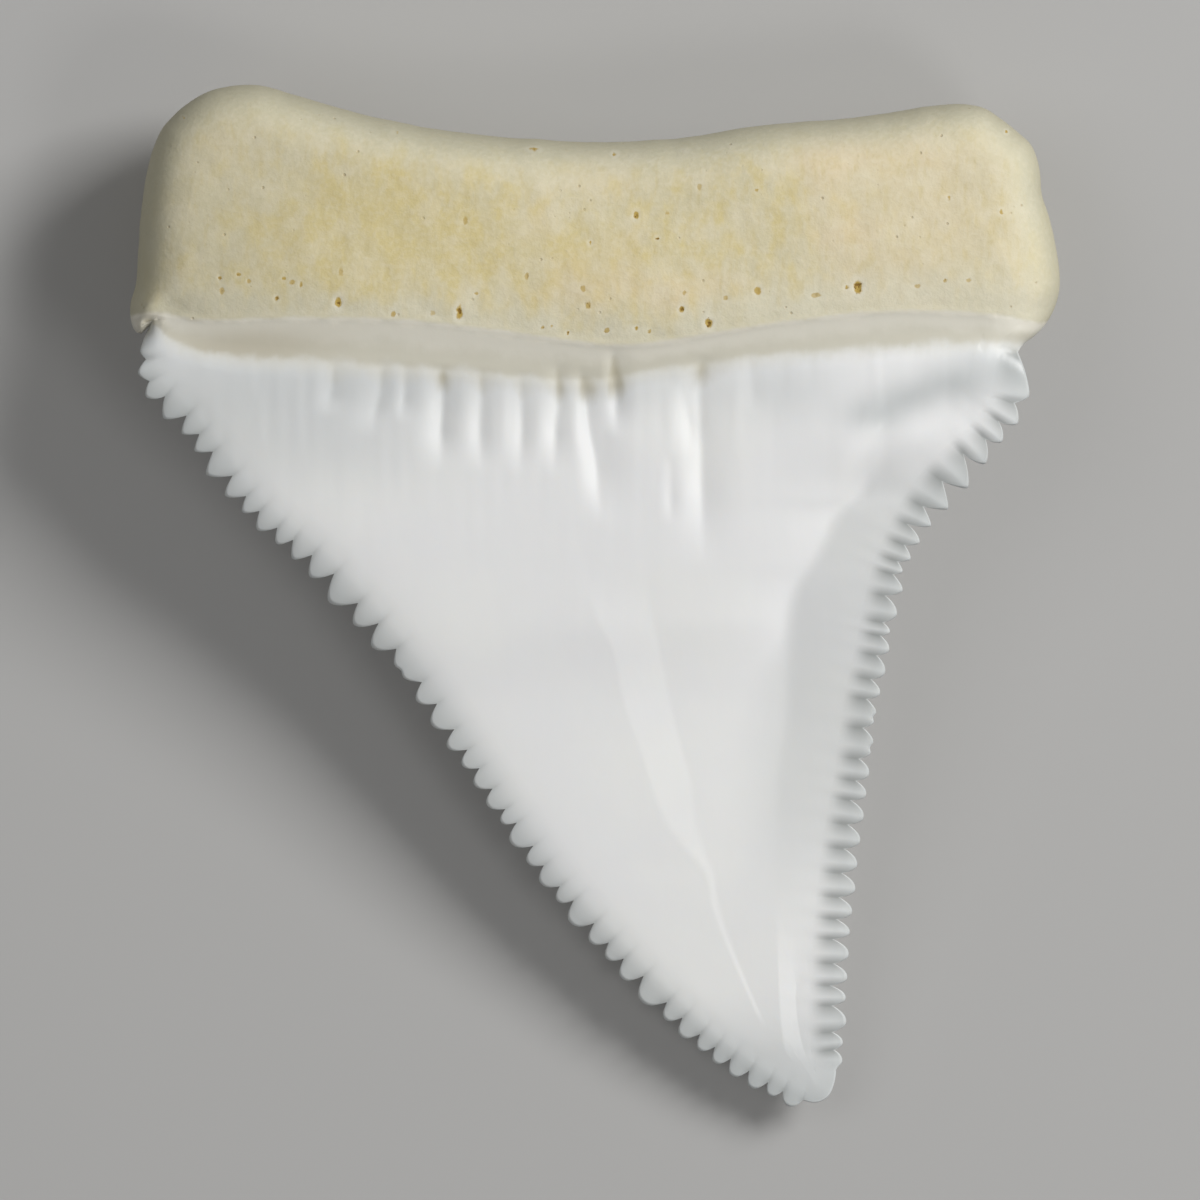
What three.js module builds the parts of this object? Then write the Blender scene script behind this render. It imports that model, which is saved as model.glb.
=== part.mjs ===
// An upper tooth of a great white shark: a broad, flat, serrated crown on a thick root with two lobes.
// It lies on its inner (lingual) face, with its flat outer (labial) face up, as it rests on a table.
// Millimetres, +Z up, +Y from the crown's tip towards the root, origin at the bottom centre of its box.
// Crown and root grew as one piece, so the tooth is one closed solid: a labial and a lingual skin that
// meet at the rim. Each skin is a grid over the middle of the tooth, with rings from the grid out to
// the rim, where the two cutting edges carry their serrations.
import * as THREE from "three";

// Outline of the root seen from above, anticlockwise from the crown's right shoulder over both lobes
// to its left shoulder: 42 wide, and 46.3 from the taller lobe to the crown's tip
const ROOT_RIM = [
  [19.05, 10.95], [19.3, 11.3], [19.85, 11.7], [20.4, 12.3], [20.85, 13.2], [21, 14.25],
  [20.8, 15.8], [20.5, 17.1], [20.2, 18.1], [20.1, 19.25], [19.75, 20.3], [19.15, 20.9],
  [18.3, 21.6], [17.6, 22.05], [16.5, 22.25], [15.1, 22.15], [13.5, 21.85], [11.7, 21.6],
  [9.2, 21.4], [6.75, 21.15], [4.95, 20.85], [2.9, 20.6], [0.65, 20.5], [-1.6, 20.55],
  [-4.3, 20.75], [-6.6, 21], [-8.85, 21.4], [-11.3, 21.95], [-13.6, 22.65], [-15.4, 23.1],
  [-17.2, 22.9], [-18.55, 22.2], [-19.65, 21.05], [-20.2, 19.55], [-20.5, 17.65], [-20.7, 15.6],
  [-20.8, 14.05], [-21, 13.2], [-21, 12.4], [-20.75, 11.95], [-20.4, 12.05], [-20.2, 11.85],
];

// Line through the notches of both cutting edges, from the left shoulder round the tip to the right one
const CROWN_EDGE = [
  [-20.2, 11.85], [-20.3, 10.6], [-20, 9.4], [-18.5, 8], [-17.25, 6.45], [-15.85, 4.55],
  [-14.45, 3.1], [-12.85, 1.85], [-10.75, -0.35], [-9, -2.45], [-7.2, -5], [-5.3, -7.95],
  [-3.65, -10.55], [-1.75, -13.25], [0.5, -15.85], [3.1, -18.55], [5.25, -20.55], [7.75, -22.2],
  [9.3, -22.95], [10.05, -23.1], [10.6, -22.8], [10.92, -21.9], [10.9, -21.2], [10.78, -19.8],
  [10.8, -17.8], [10.9, -15.55], [11.1, -13.55], [11.4, -10.8], [11.8, -8.55], [12.05, -6.75],
  [12.3, -4.7], [12.75, -2.7], [13.05, -1.1], [13.4, 0.7], [14, 2.3], [14.9, 4.1], [16.05, 5.5],
  [17.75, 7], [18.9, 8.5], [19.15, 9.75], [19.05, 10.95],
];
const LEFT_END = [9.4, -22.98]; // where the left edge's serrations stop, beside the rounded tip
const RIGHT_END = [10.9, -21.45]; // where the right edge's serrations stop
const LOWEST_EDGE_POINT = 19; // place of the tip in CROWN_EDGE
const OUTLINE_MIDDLE = { x: -0.018, y: -0.068 }; // middle of the box around the whole outline

// Length of each serration along its edge, from the shoulder to the tip, in tenths of a millimetre
const LEFT_PITCHES = [
  13, 10, 10, 13, 10, 10, 14, 11, 9, 11, 9, 11, 13, 17, 13, 14, 19, 12, 14, 11, 10,
  11, 11, 8, 13, 10, 12, 9, 14, 11, 10, 12, 15, 10, 11, 9, 9, 10, 11, 8, 10,
];
const RIGHT_PITCHES = [
  23, 11, 10, 12, 15, 14, 10, 9, 8, 6, 10, 12, 6, 9, 11, 9, 13, 14, 10, 9, 11, 11, 11,
  11, 10, 9, 11, 10, 9, 12, 8, 8,
];
// How far a serration stands out, as a share of its length: at the shoulder, below it, near the tip
const LEFT_STAND = [0.2, 0.68, 0.46];
const RIGHT_STAND = [0.15, 0.6, 0.58];
const LONGEST_STAND = 0.98; // however long the serration is
const PEAK_AT = 0.56; // place of its point along it, so that it leans to the tip of the tooth
const POINTED = 1.35; // power of a serration's outline at the shoulder
const ROUNDED = 1.9; // and beside the tip
const LEFT_SPLIT = [16]; // numbers of the serrations that are low and split in two
const RIGHT_SPLIT = [16, 17];
const SPLIT = { share: 0.72, dip: 0.35, halfWidth: 0.14 };

// Height of the labial face and of the lingual face along the middle of the tooth, as [y, z]
const LABIAL_LINE = [
  [23.1, 9.2], [20, 9.5], [16, 9.75], [12.5, 9.9], [10, 9.75], [7, 9.3], [3, 8.45], [-3, 6.95],
  [-9, 5.45], [-14, 4.2], [-18, 3.25], [-21, 2.6], [-23.1, 2.2],
];
const LINGUAL_LINE = [
  [12, 1.3], [9, 1.5], [7, 1.5], [3, 1.3], [-3, 0.8], [-9, 0.25], [-13, -0.03], [-15.5, -0.1],
  [-18, 0.02], [-20, 0.38], [-21.8, 0.95], [-23.1, 1.5],
];
const LABIAL_FALL = 0.55; // from the middle of the labial face to its edges
const LABIAL_FALL_POWER = 2.4;

// Cutting edge
const EDGE_THICKNESS = 1; // where the two faces turn in to meet
const EDGE_BEVEL = 0.55; // the distance over which they do
const EDGE_RIM_SHARE = 0.32; // share of the thickness that lies above the edge
const LENS_POWER = 0.85; // fullness of the crown's cross-section
const GROOVE_REACH = 1; // how far the groove behind each notch runs inwards

// Root
const RIM_RADIUS_ABOVE = 2.7;
const RIM_RADIUS_BELOW = 4.6;
const ROOT_RIM_SHARE = 0.42; // share of the thickness that lies above the root's rim
const SWELL = { height: 0.12, across: 0.42, along: 0.5, start: 1 }; // gentle waves of its outer face
const PAD = { y: 15.6, curve: 0.018, worn: 0.1 }; // the lobes touch the table along y, worn flat
const SADDLE = { rise: 0.45, halfWidth: 4.2 }; // shallow hollow between the lobes
const LOBE_RISE = { from: 13, curve: 0.05 }; // the lobes' ends lift off the table

// Neck: where the enamel starts on each face, as [x, y], and the bare band above it
const LABIAL_NECK = [
  [-20.6, 11.8], [-16.5, 11.1], [-13.4, 10.8], [-8.8, 10.4], [-4.3, 10.2], [0.2, 10.1],
  [4.7, 10.65], [9.2, 11.1], [13.8, 11.3], [19.6, 11.5],
];
const LINGUAL_NECK = [
  [-20.6, 11.8], [-14, 9.9], [-7, 8], [0, 7.2], [7, 8], [14, 9.9], [19.6, 11.5],
];
const LABIAL_BLEND = 0.9; // half the height over which root passes into crown
const LINGUAL_BLEND = 1.9;
const BAND = { height: 1.35, depth: 0.14 };
const ENAMEL_STEP = { height: 0.1, fadesFrom: 0.5, fadesTo: 5 };

// Relief of the labial face: short folds under the neck, as [x, reach], a ridge and a trough
const FOLDS = [
  [-12.2, 2.2], [-10.1, 3.1], [-8.8, 2.4], [-7.2, 5.1], [-5.4, 5.5], [-3.3, 4.2], [-1.9, 5],
  [-0.2, 6.2], [1.4, 4.4], [2.8, 5.6], [4.6, 6.4], [6.7, 5.4],
];
const FOLD = { height: 0.13, halfWidth: 0.55, startsOver: 0.8, fadesFrom: 0.4 };
const RIDGE = { height: 0.1, halfWidth: 0.7, from: -1, full: -12 };
const TROUGH = { depth: 0.4, across: 0.76, halfWidth: 0.17, from: 7, full: 3, last: -5, to: -11 };

// Mesh fineness
const LABIAL_GRID = { rootRows: 9, crownRows: 34, columns: 56 };
const LINGUAL_GRID = { rootRows: 8, crownRows: 20, columns: 22 };
const GRID_CORNERS = [[-18.6, 22.1], [9.3, -22.95], [10.85, -21.9], [18.6, 21.4]];
const ROOT_SHARE = 0.27; // of the tooth's length
const ROW_CROWDING = 1.2; // rows lie closer beside the neck
const SIDE_POWER = 8; // how close to the grid's sides its rows follow the neck
const RINGS = [0.1, 0.3, 0.62]; // between the rim, 0, and the grid's border, 1
const INSET = 2.1; // from the rim to the grid's border
const TIP_INSET = { least: 0.75, from: -15, to: -22.5 }; // less beside the narrow tip
const BASE_STEP = 0.12; // spacing of the points that carry the outline
const SMOOTHING = 1.1; // distance over which the grid's border rounds off the outline
const SERRATION_STEPS = [0, 0.28, 0.56, 0.8]; // outline points along one serration
const TIP_STEPS = 9;
const ROOT_STEPS = 72;

const clamp = THREE.MathUtils.clamp;
const mix = THREE.MathUtils.lerp;
const bell = (offset, halfWidth) => Math.exp(-((offset / halfWidth) ** 2));
const quarterRound = (share) => Math.sqrt(1 - (1 - clamp(share, 0, 1)) ** 2);

// Goes smoothly from 0 at one value to 1 at the other, whichever is larger
function ramp(value, from, to) {
  const share = clamp((value - from) / (to - from), 0, 1);
  return share * share * (3 - 2 * share);
}

// Smooth curve y(x) through points that are sorted in x, either way
function curveThrough(points) {
  const p = points[0][0] < points.at(-1)[0] ? points : [...points].reverse();
  const slopeAt = (i) => {
    const [x0, y0] = p[Math.max(i - 1, 0)];
    const [x1, y1] = p[Math.min(i + 1, p.length - 1)];
    return (y1 - y0) / (x1 - x0);
  };
  return (x) => {
    const within = clamp(x, p[0][0], p.at(-1)[0]);
    const i = Math.max(p.findIndex(([next]) => next >= within), 1) - 1;
    const span = p[i + 1][0] - p[i][0];
    const rise = p[i + 1][1] - p[i][1];
    const u = (within - p[i][0]) / span;
    const startBow = slopeAt(i) - rise / span;
    const endBow = slopeAt(i + 1) - rise / span;
    return p[i][1] + rise * u + u * (1 - u) * span * ((1 - u) * startBow - u * endBow);
  };
}

// Points at an even spacing on a spline, without its last one
function sampled(points) {
  const curve = new THREE.CatmullRomCurve3(points.map(([x, y]) => new THREE.Vector3(x, y, 0)));
  curve.arcLengthDivisions = 2000;
  const steps = Math.round(curve.getLength() / BASE_STEP);
  return curve.getSpacedPoints(steps).slice(0, -1).map((p) => new THREE.Vector2(p.x, p.y));
}

const crownBase = sampled(CROWN_EDGE);
const base = [...crownBase, ...sampled(ROOT_RIM)]; // closed, anticlockwise, from the left shoulder
const wrap = (i) => ((i % base.length) + base.length) % base.length;

// A closed line averaged along itself
function averaged(line, distance) {
  const reach = Math.round((2.5 * distance) / BASE_STEP);
  return line.map((_, i) => {
    const sum = new THREE.Vector2();
    let total = 0;
    for (let k = -reach; k <= reach; k++) {
      const weight = bell(k * BASE_STEP, distance * Math.SQRT2);
      sum.addScaledVector(line[wrap(i + k)], weight);
      total += weight;
    }
    return sum.divideScalar(total);
  });
}

function outwardNormals(line) {
  return line.map((_, i) => {
    const along = line[wrap(i + 2)].clone().sub(line[wrap(i - 2)]).normalize();
    return new THREE.Vector2(along.y, -along.x);
  });
}

// The line INSET inside the outline, where the grids end
function innerLine() {
  const soft = averaged(base, SMOOTHING);
  const normals = outwardNormals(soft);
  const moved = soft.map((p, i) => {
    const inset = mix(INSET, TIP_INSET.least, ramp(p.y, TIP_INSET.from, TIP_INSET.to));
    return p.clone().addScaledVector(normals[i], -inset);
  });
  return averaged(moved, SMOOTHING / 2);
}

const edgeNormals = outwardNormals(averaged(base, SMOOTHING / 3));
const inner = innerLine();

// A point on a closed line at a fractional index
function pointOn(line, position) {
  const i = Math.floor(position);
  return line[wrap(i)].clone().lerp(line[wrap(i + 1)], position - i);
}

// The base point nearest to a place, and its distance
function nearestBase(place) {
  let index = 0;
  let least = Infinity;
  base.forEach((p, i) => {
    const squared = p.distanceToSquared(place);
    if (squared < least) {
      least = squared;
      index = i;
    }
  });
  return { index, distance: Math.sqrt(least) };
}

const baseIndexAt = ([x, y]) => nearestBase(new THREE.Vector2(x, y)).index;

// Serrations as stretches of the base line, from the shoulder to the tip
function serrationsAlong(pitches, [first, upper, lower], from, to, split) {
  const total = pitches.reduce((sum, pitch) => sum + pitch, 0);
  let run = 0;
  return pitches.map((pitch, i) => {
    const start = mix(from, to, run / total);
    run += pitch;
    const down = ramp(i / pitches.length, 0.1, 0.6);
    const stand = mix(mix(first, upper, ramp(i, -1, 4)), lower, down);
    const power = mix(POINTED, ROUNDED, down);
    return { start, end: mix(from, to, run / total), stand, power, isSplit: split.includes(i) };
  });
}

const leftEnd = baseIndexAt(LEFT_END);
const rightEnd = baseIndexAt(RIGHT_END);
const serrations = [
  ...serrationsAlong(LEFT_PITCHES, LEFT_STAND, 0, leftEnd, LEFT_SPLIT),
  ...serrationsAlong(RIGHT_PITCHES, RIGHT_STAND, crownBase.length, rightEnd, RIGHT_SPLIT),
];

// How far a serration stands out from the notch line, at 0 to 1 along it
function standOut(serration, along) {
  const length = Math.abs(serration.end - serration.start) * BASE_STEP;
  const reach = along < PEAK_AT ? PEAK_AT : 1 - PEAK_AT;
  const u = Math.abs(along - PEAK_AT) / reach;
  const full = Math.min(length * serration.stand, LONGEST_STAND) * (1 - u ** serration.power);
  const dip = SPLIT.dip * bell(along - PEAK_AT, SPLIT.halfWidth);
  return serration.isSplit ? full * SPLIT.share * (1 - dip) : full;
}

function standOutAt(index) {
  const alongOf = (s) => (index - s.start) / (s.end - s.start);
  const found = serrations.find((s) => alongOf(s) >= 0 && alongOf(s) < 1);
  return found ? standOut(found, alongOf(found)) : 0;
}

const labialLine = curveThrough(LABIAL_LINE);
const lingualLine = curveThrough(LINGUAL_LINE);
const labialNeck = curveThrough(LABIAL_NECK);
const lingualNeck = curveThrough(LINGUAL_NECK);
const swapped = ([x, y]) => [y, x];
const leftSide = curveThrough(CROWN_EDGE.slice(1, LOWEST_EDGE_POINT + 1).map(swapped));
const rightSide = curveThrough(CROWN_EDGE.slice(LOWEST_EDGE_POINT, -1).map(swapped));

// Relief that the labial face adds to its sweep: offset is the distance from the crown's middle line,
// across the same as -1 to 1, and below the distance under the neck
function labialRelief(p, offset, across, below) {
  const band = BAND.depth * bell(below + BAND.height / 2, BAND.height / 2);
  const fading = ramp(below, ENAMEL_STEP.fadesFrom, ENAMEL_STEP.fadesTo);
  const step = ENAMEL_STEP.height * (ramp(below, -0.2, 0.25) - fading);
  const swell = SWELL.height * ramp(-below, BAND.height, BAND.height * 3)
    * Math.sin(p.x * SWELL.across + SWELL.start) * Math.cos(p.y * SWELL.along);
  let folds = 0;
  for (const [x, reach] of FOLDS) {
    const length = ramp(below, 0, FOLD.startsOver) * ramp(below, reach, reach * FOLD.fadesFrom);
    folds += FOLD.height * bell(p.x - x, FOLD.halfWidth) * length;
  }
  const ridge = RIDGE.height * bell(offset, RIDGE.halfWidth) * ramp(p.y, RIDGE.from, RIDGE.full);
  const troughLength = ramp(p.y, TROUGH.from, TROUGH.full) * ramp(p.y, TROUGH.to, TROUGH.last);
  const trough = TROUGH.depth * bell(across - TROUGH.across, TROUGH.halfWidth) * troughLength;
  return step + swell + folds + ridge - band - trough;
}

// Lingual face of the root: two lobes worn flat where they touch the table, a hollow between them
function rootUnderside(p) {
  const roll = PAD.curve * (p.y - PAD.y) ** 2;
  const saddle = SADDLE.rise * bell(p.x, SADDLE.halfWidth);
  const lobe = LOBE_RISE.curve * Math.max(Math.abs(p.x) - LOBE_RISE.from, 0) ** 2;
  return roll + saddle + lobe - PAD.worn;
}

function crownThickness(p, across) {
  const middle = labialLine(p.y) - lingualLine(p.y) - EDGE_THICKNESS;
  return EDGE_THICKNESS + Math.max(middle, 0) * Math.max(1 - across * across, 0) ** LENS_POWER;
}

// The two faces as they would run without their rounding at the rim, and the rim between them
function faces(p) {
  const halfWidth = (rightSide(p.y) - leftSide(p.y)) / 2;
  const offset = p.x - (rightSide(p.y) + leftSide(p.y)) / 2;
  const across = clamp(offset / halfWidth, -1.1, 1.1);
  const below = labialNeck(p.x) - p.y;
  const sweep = labialLine(p.y) - LABIAL_FALL * Math.abs(across) ** LABIAL_FALL_POWER;
  const top = sweep + labialRelief(p, offset, across, below);
  const crownAbove = ramp(below, -LABIAL_BLEND, LABIAL_BLEND);
  const crownBelow = ramp(lingualNeck(p.x) - p.y, -LINGUAL_BLEND, LINGUAL_BLEND);
  const bottom = mix(rootUnderside(p), sweep - crownThickness(p, across), crownBelow);
  const share = mix(ROOT_RIM_SHARE, EDGE_RIM_SHARE, (crownAbove + crownBelow) / 2);
  return { top, bottom, rim: mix(top, bottom, share), crownAbove, crownBelow };
}

// Heights of the labial and of the lingual skin at a place inside the rim
function skinHeights(p) {
  const { top, bottom, rim, crownAbove, crownBelow } = faces(p);
  const { index, distance } = nearestBase(p);
  const behind = distance + standOutAt(index) * Math.exp(-distance / GROOVE_REACH);
  const blade = 1 - Math.exp(-behind / EDGE_BEVEL);
  const rise = mix(quarterRound(distance / RIM_RADIUS_ABOVE), blade, crownAbove);
  const fall = mix(quarterRound(distance / RIM_RADIUS_BELOW), blade, crownBelow);
  return { labial: mix(rim, top, rise), lingual: Math.max(mix(rim, bottom, fall), 0) };
}

// The rim's points, as an index on the base line and a place
function rimPoints() {
  const rim = [];
  for (const serration of serrations) {
    for (const along of SERRATION_STEPS) {
      const at = mix(serration.start, serration.end, along);
      const out = pointOn(edgeNormals, at).multiplyScalar(standOut(serration, along));
      rim.push({ at: wrap(at), place: pointOn(base, at).add(out) });
    }
  }
  const addPlain = (from, to, steps) => {
    for (let i = 0; i < steps; i++) {
      const at = wrap(mix(from, to, i / steps));
      rim.push({ at, place: pointOn(base, at) });
    }
  };
  addPlain(leftEnd, rightEnd, TIP_STEPS);
  addPlain(crownBase.length + 3, base.length, ROOT_STEPS);
  return rim.sort((a, b) => a.at - b.at);
}

// Where a row of the grid starts and ends on the base line, and its share of the tooth's length
function rowEnds(row, { rootRows, crownRows }) {
  const [topLeft, tipLeft, tipRight, topRight] = GRID_CORNERS.map(baseIndexAt);
  if (row < rootRows) {
    const share = 1 - (1 - row / rootRows) ** ROW_CROWDING;
    const left = mix(topLeft, base.length, share);
    return { left, right: mix(topRight, crownBase.length, share), share: ROOT_SHARE * share };
  }
  const share = ((row - rootRows) / crownRows) ** ROW_CROWDING;
  const left = base.length + mix(0, tipLeft, share);
  return { left, right: mix(crownBase.length, tipRight, share), share: mix(ROOT_SHARE, 1, share) };
}

// One row of a patch that is stretched between its four borders on the inner line
function patchRow(row, fineness) {
  const first = rowEnds(0, fineness);
  const last = rowEnds(fineness.rootRows + fineness.crownRows, fineness);
  const { left, right, share } = rowEnds(row, fineness);
  const places = [];
  for (let c = 0; c <= fineness.columns; c++) {
    const s = c / fineness.columns;
    const between = (a, b) => pointOn(inner, a).lerp(pointOn(inner, b), s);
    const topBow = pointOn(inner, mix(first.left, first.right, s)).sub(between(first.left, first.right));
    const tip = mix(last.left - base.length, last.right, s);
    const tipBow = pointOn(inner, tip).sub(between(last.left, last.right));
    places.push(between(left, right).add(topBow.lerp(tipBow, share)));
  }
  return places;
}

// Bends a patch's rows so that one of them follows the neck
function bendToNeck(rows, neck, { rootRows, crownRows, columns }) {
  rows[rootRows].map((p, c) => {
    const side = 1 - Math.abs((2 * c) / columns - 1) ** SIDE_POWER;
    return (neck(p.x) - p.y) * side;
  }).forEach((shift, c) => {
    rows.forEach((row, r) => {
      const near = r < rootRows ? r / rootRows : 1 - (r - rootRows) / crownRows;
      row[c].y += shift * ramp(near, 0, 1);
    });
  });
}

// The grid's border as a ring, sorted by its place on the base line
function borderOf(vertices, fineness) {
  const last = vertices.length - 1;
  const first = rowEnds(0, fineness);
  const end = rowEnds(last, fineness);
  const ring = [];
  for (let r = 0; r < last; r++) {
    ring.push({ at: rowEnds(r, fineness).left, vertex: vertices[r][0] });
    ring.push({ at: rowEnds(r + 1, fineness).right, vertex: vertices[r + 1][fineness.columns] });
  }
  for (let c = 0; c < fineness.columns; c++) {
    const s = c / fineness.columns;
    ring.push({ at: mix(end.left - base.length, end.right, s), vertex: vertices[last][c] });
    const back = 1 - s;
    ring.push({ at: mix(first.left, first.right, back), vertex: vertices[0][fineness.columns - c] });
  }
  return ring.map(({ at, vertex }) => ({ at: wrap(at), vertex })).sort((a, b) => a.at - b.at);
}

// Triangles between two closed rings, both sorted by their place on the base line
function zipped(outer, within) {
  const placeOf = (ring, k) => ring[k % ring.length].at + Math.floor(k / ring.length) * base.length;
  const vertexOf = (ring, k) => ring[k % ring.length].vertex;
  const triangles = [];
  let i = 0;
  let j = 0;
  while (i < outer.length || j < within.length) {
    const outerIsNext = placeOf(outer, i + 1) <= placeOf(within, j + 1);
    const stepOut = j >= within.length || (i < outer.length && outerIsNext);
    const next = stepOut ? vertexOf(outer, i + 1) : vertexOf(within, j + 1);
    triangles.push([vertexOf(outer, i), next, vertexOf(within, j)]);
    i += stepOut ? 1 : 0;
    j += stepOut ? 0 : 1;
  }
  return triangles;
}

// Triangles of one skin, which shares the rim with the other; addVertex takes a place and a height
function skinTriangles(rim, fineness, neck, side, addVertex) {
  const rows = [];
  for (let r = 0; r <= fineness.rootRows + fineness.crownRows; r++) rows.push(patchRow(r, fineness));
  bendToNeck(rows, neck, fineness);
  const vertices = rows.map((row) => row.map((p) => addVertex(p, skinHeights(p)[side])));
  const triangles = [];
  for (let r = 0; r + 1 < vertices.length; r++) {
    for (let c = 0; c < fineness.columns; c++) {
      const [a, b] = [vertices[r][c], vertices[r][c + 1]];
      const [d, e] = [vertices[r + 1][c], vertices[r + 1][c + 1]];
      triangles.push([a, d, b], [b, d, e]);
    }
  }
  const border = borderOf(vertices, fineness);
  let ring = rim;
  for (const share of RINGS) {
    const kept = ring.length > border.length * 1.6 ? ring.filter((_, i) => i % 2 === 0) : ring;
    const next = kept.map(({ at }) => {
      const place = pointOn(base, at).lerp(pointOn(inner, at), share);
      return { at, vertex: addVertex(place, skinHeights(place)[side]) };
    });
    triangles.push(...zipped(ring, next));
    ring = next;
  }
  triangles.push(...zipped(ring, border));
  return triangles;
}

function toothGeometry() {
  const positions = [];
  const addVertex = (place, z) => {
    positions.push(place.x - OUTLINE_MIDDLE.x, place.y - OUTLINE_MIDDLE.y, z);
    return positions.length / 3 - 1;
  };
  const rim = rimPoints().map(({ at, place }) => ({ at, vertex: addVertex(place, faces(place).rim) }));
  const labial = skinTriangles(rim, LABIAL_GRID, labialNeck, "labial", addVertex);
  const lingual = skinTriangles(rim, LINGUAL_GRID, lingualNeck, "lingual", addVertex);
  const facingDown = lingual.map(([a, b, c]) => [a, c, b]);
  const geometry = new THREE.BufferGeometry();
  geometry.setAttribute("position", new THREE.Float32BufferAttribute(positions, 3));
  geometry.setIndex([...labial, ...facingDown].flat());
  geometry.computeVertexNormals();
  return geometry;
}

const ivory = new THREE.MeshStandardMaterial({ color: 0xdcd8cb, roughness: 0.4, metalness: 0 });
const toothMesh = new THREE.Mesh(toothGeometry(), ivory);
toothMesh.name = "tooth";
const tooth = new THREE.Group();
tooth.add(toothMesh);

export default tooth;
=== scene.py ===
"""Looks of a great white shark's upper tooth that lies on its inner face, its flat outer face up.

Lengths are millimetres until a mesh is made, in the frame's axes: +Z up, +Y from the crown's tip
towards the root. Outer (labial) and inner (lingual) are the tooth's own two faces.
"""

import math

import bpy
import numpy as np
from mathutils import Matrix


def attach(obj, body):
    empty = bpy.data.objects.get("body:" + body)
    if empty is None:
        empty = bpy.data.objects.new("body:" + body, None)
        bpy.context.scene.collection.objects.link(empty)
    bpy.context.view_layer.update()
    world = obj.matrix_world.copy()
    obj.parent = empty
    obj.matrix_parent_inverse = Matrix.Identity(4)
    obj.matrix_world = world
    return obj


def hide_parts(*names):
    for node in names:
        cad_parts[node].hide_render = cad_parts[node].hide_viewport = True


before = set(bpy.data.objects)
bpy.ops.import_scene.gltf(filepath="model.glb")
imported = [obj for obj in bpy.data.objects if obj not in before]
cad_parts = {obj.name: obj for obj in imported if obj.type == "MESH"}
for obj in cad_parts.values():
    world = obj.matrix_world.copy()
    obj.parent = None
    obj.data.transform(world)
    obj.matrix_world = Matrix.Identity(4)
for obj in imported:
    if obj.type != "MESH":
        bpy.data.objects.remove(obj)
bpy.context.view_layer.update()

MM = 0.001

# Outline of the root, anticlockwise from the crown's right shoulder over both lobes to its left one
ROOT_RIM = [
    (19.05, 10.95), (19.3, 11.3), (19.85, 11.7), (20.4, 12.3), (20.85, 13.2), (21, 14.25),
    (20.8, 15.8), (20.5, 17.1), (20.2, 18.1), (20.1, 19.25), (19.75, 20.3), (19.15, 20.9),
    (18.3, 21.6), (17.6, 22.05), (16.5, 22.25), (15.1, 22.15), (13.5, 21.85), (11.7, 21.6),
    (9.2, 21.4), (6.75, 21.15), (4.95, 20.85), (2.9, 20.6), (0.65, 20.5), (-1.6, 20.55),
    (-4.3, 20.75), (-6.6, 21), (-8.85, 21.4), (-11.3, 21.95), (-13.6, 22.65), (-15.4, 23.1),
    (-17.2, 22.9), (-18.55, 22.2), (-19.65, 21.05), (-20.2, 19.55), (-20.5, 17.65), (-20.7, 15.6),
    (-20.8, 14.05), (-21, 13.2), (-21, 12.45), (-20.84, 11.95), (-20.57, 11.76), (-20.35, 11.92),
    (-20.16, 12.1),
]

# Line through the notches of both cutting edges, from the left shoulder round the tip to the right
CROWN_EDGE = [
    (-20.16, 12.1), (-20.27, 10.6), (-20, 9.4), (-18.5, 8), (-17.25, 6.45), (-15.85, 4.55),
    (-14.45, 3.1), (-12.85, 1.85), (-10.75, -0.35), (-9, -2.45), (-7.15, -4.95), (-5.23, -7.89),
    (-3.57, -10.49), (-1.67, -13.18), (0.59, -15.77), (3.19, -18.46), (5.33, -20.46), (7.78, -22.14),
    (9.3, -22.95), (10.05, -23.1), (10.6, -22.8), (10.92, -21.9), (10.9, -21.2), (10.78, -19.8),
    (10.8, -17.8), (10.9, -15.55), (11.1, -13.55), (11.4, -10.8), (11.8, -8.55), (12.05, -6.75),
    (12.3, -4.7), (12.75, -2.7), (13.05, -1.1), (13.4, 0.7), (14, 2.3), (14.9, 4.1), (16.05, 5.5),
    (17.75, 7), (18.85, 8.5), (19, 9.75), (19.05, 10.95),
]
LOWEST_EDGE_POINT = 19  # place of the tip in CROWN_EDGE
LEFT_END = (9.4, -22.98)  # where the left edge's serrations stop, beside the rounded tip
RIGHT_END = (10.9, -21.45)
BASE_STEP = 0.12  # spacing of the points that carry the outline

# Length of each serration along its edge, from the shoulder to the tip, in tenths of a millimetre
LEFT_LENGTHS = [
    15, 10, 10, 13, 10, 10, 14, 11, 9, 11, 9, 11, 13, 17, 13, 14, 19, 12, 14, 11, 10,
    11, 11, 8, 13, 10, 12, 9, 14, 11, 10, 12, 16, 10, 11, 9, 9, 10, 10, 8, 10,
]
RIGHT_LENGTHS = [
    23, 11, 10, 12, 15, 14, 10, 9, 8, 6, 10, 12, 6, 9, 11, 9, 13, 14, 10, 9, 11, 11, 11,
    11, 10, 9, 11, 10, 9, 12, 8, 8,
]
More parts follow.
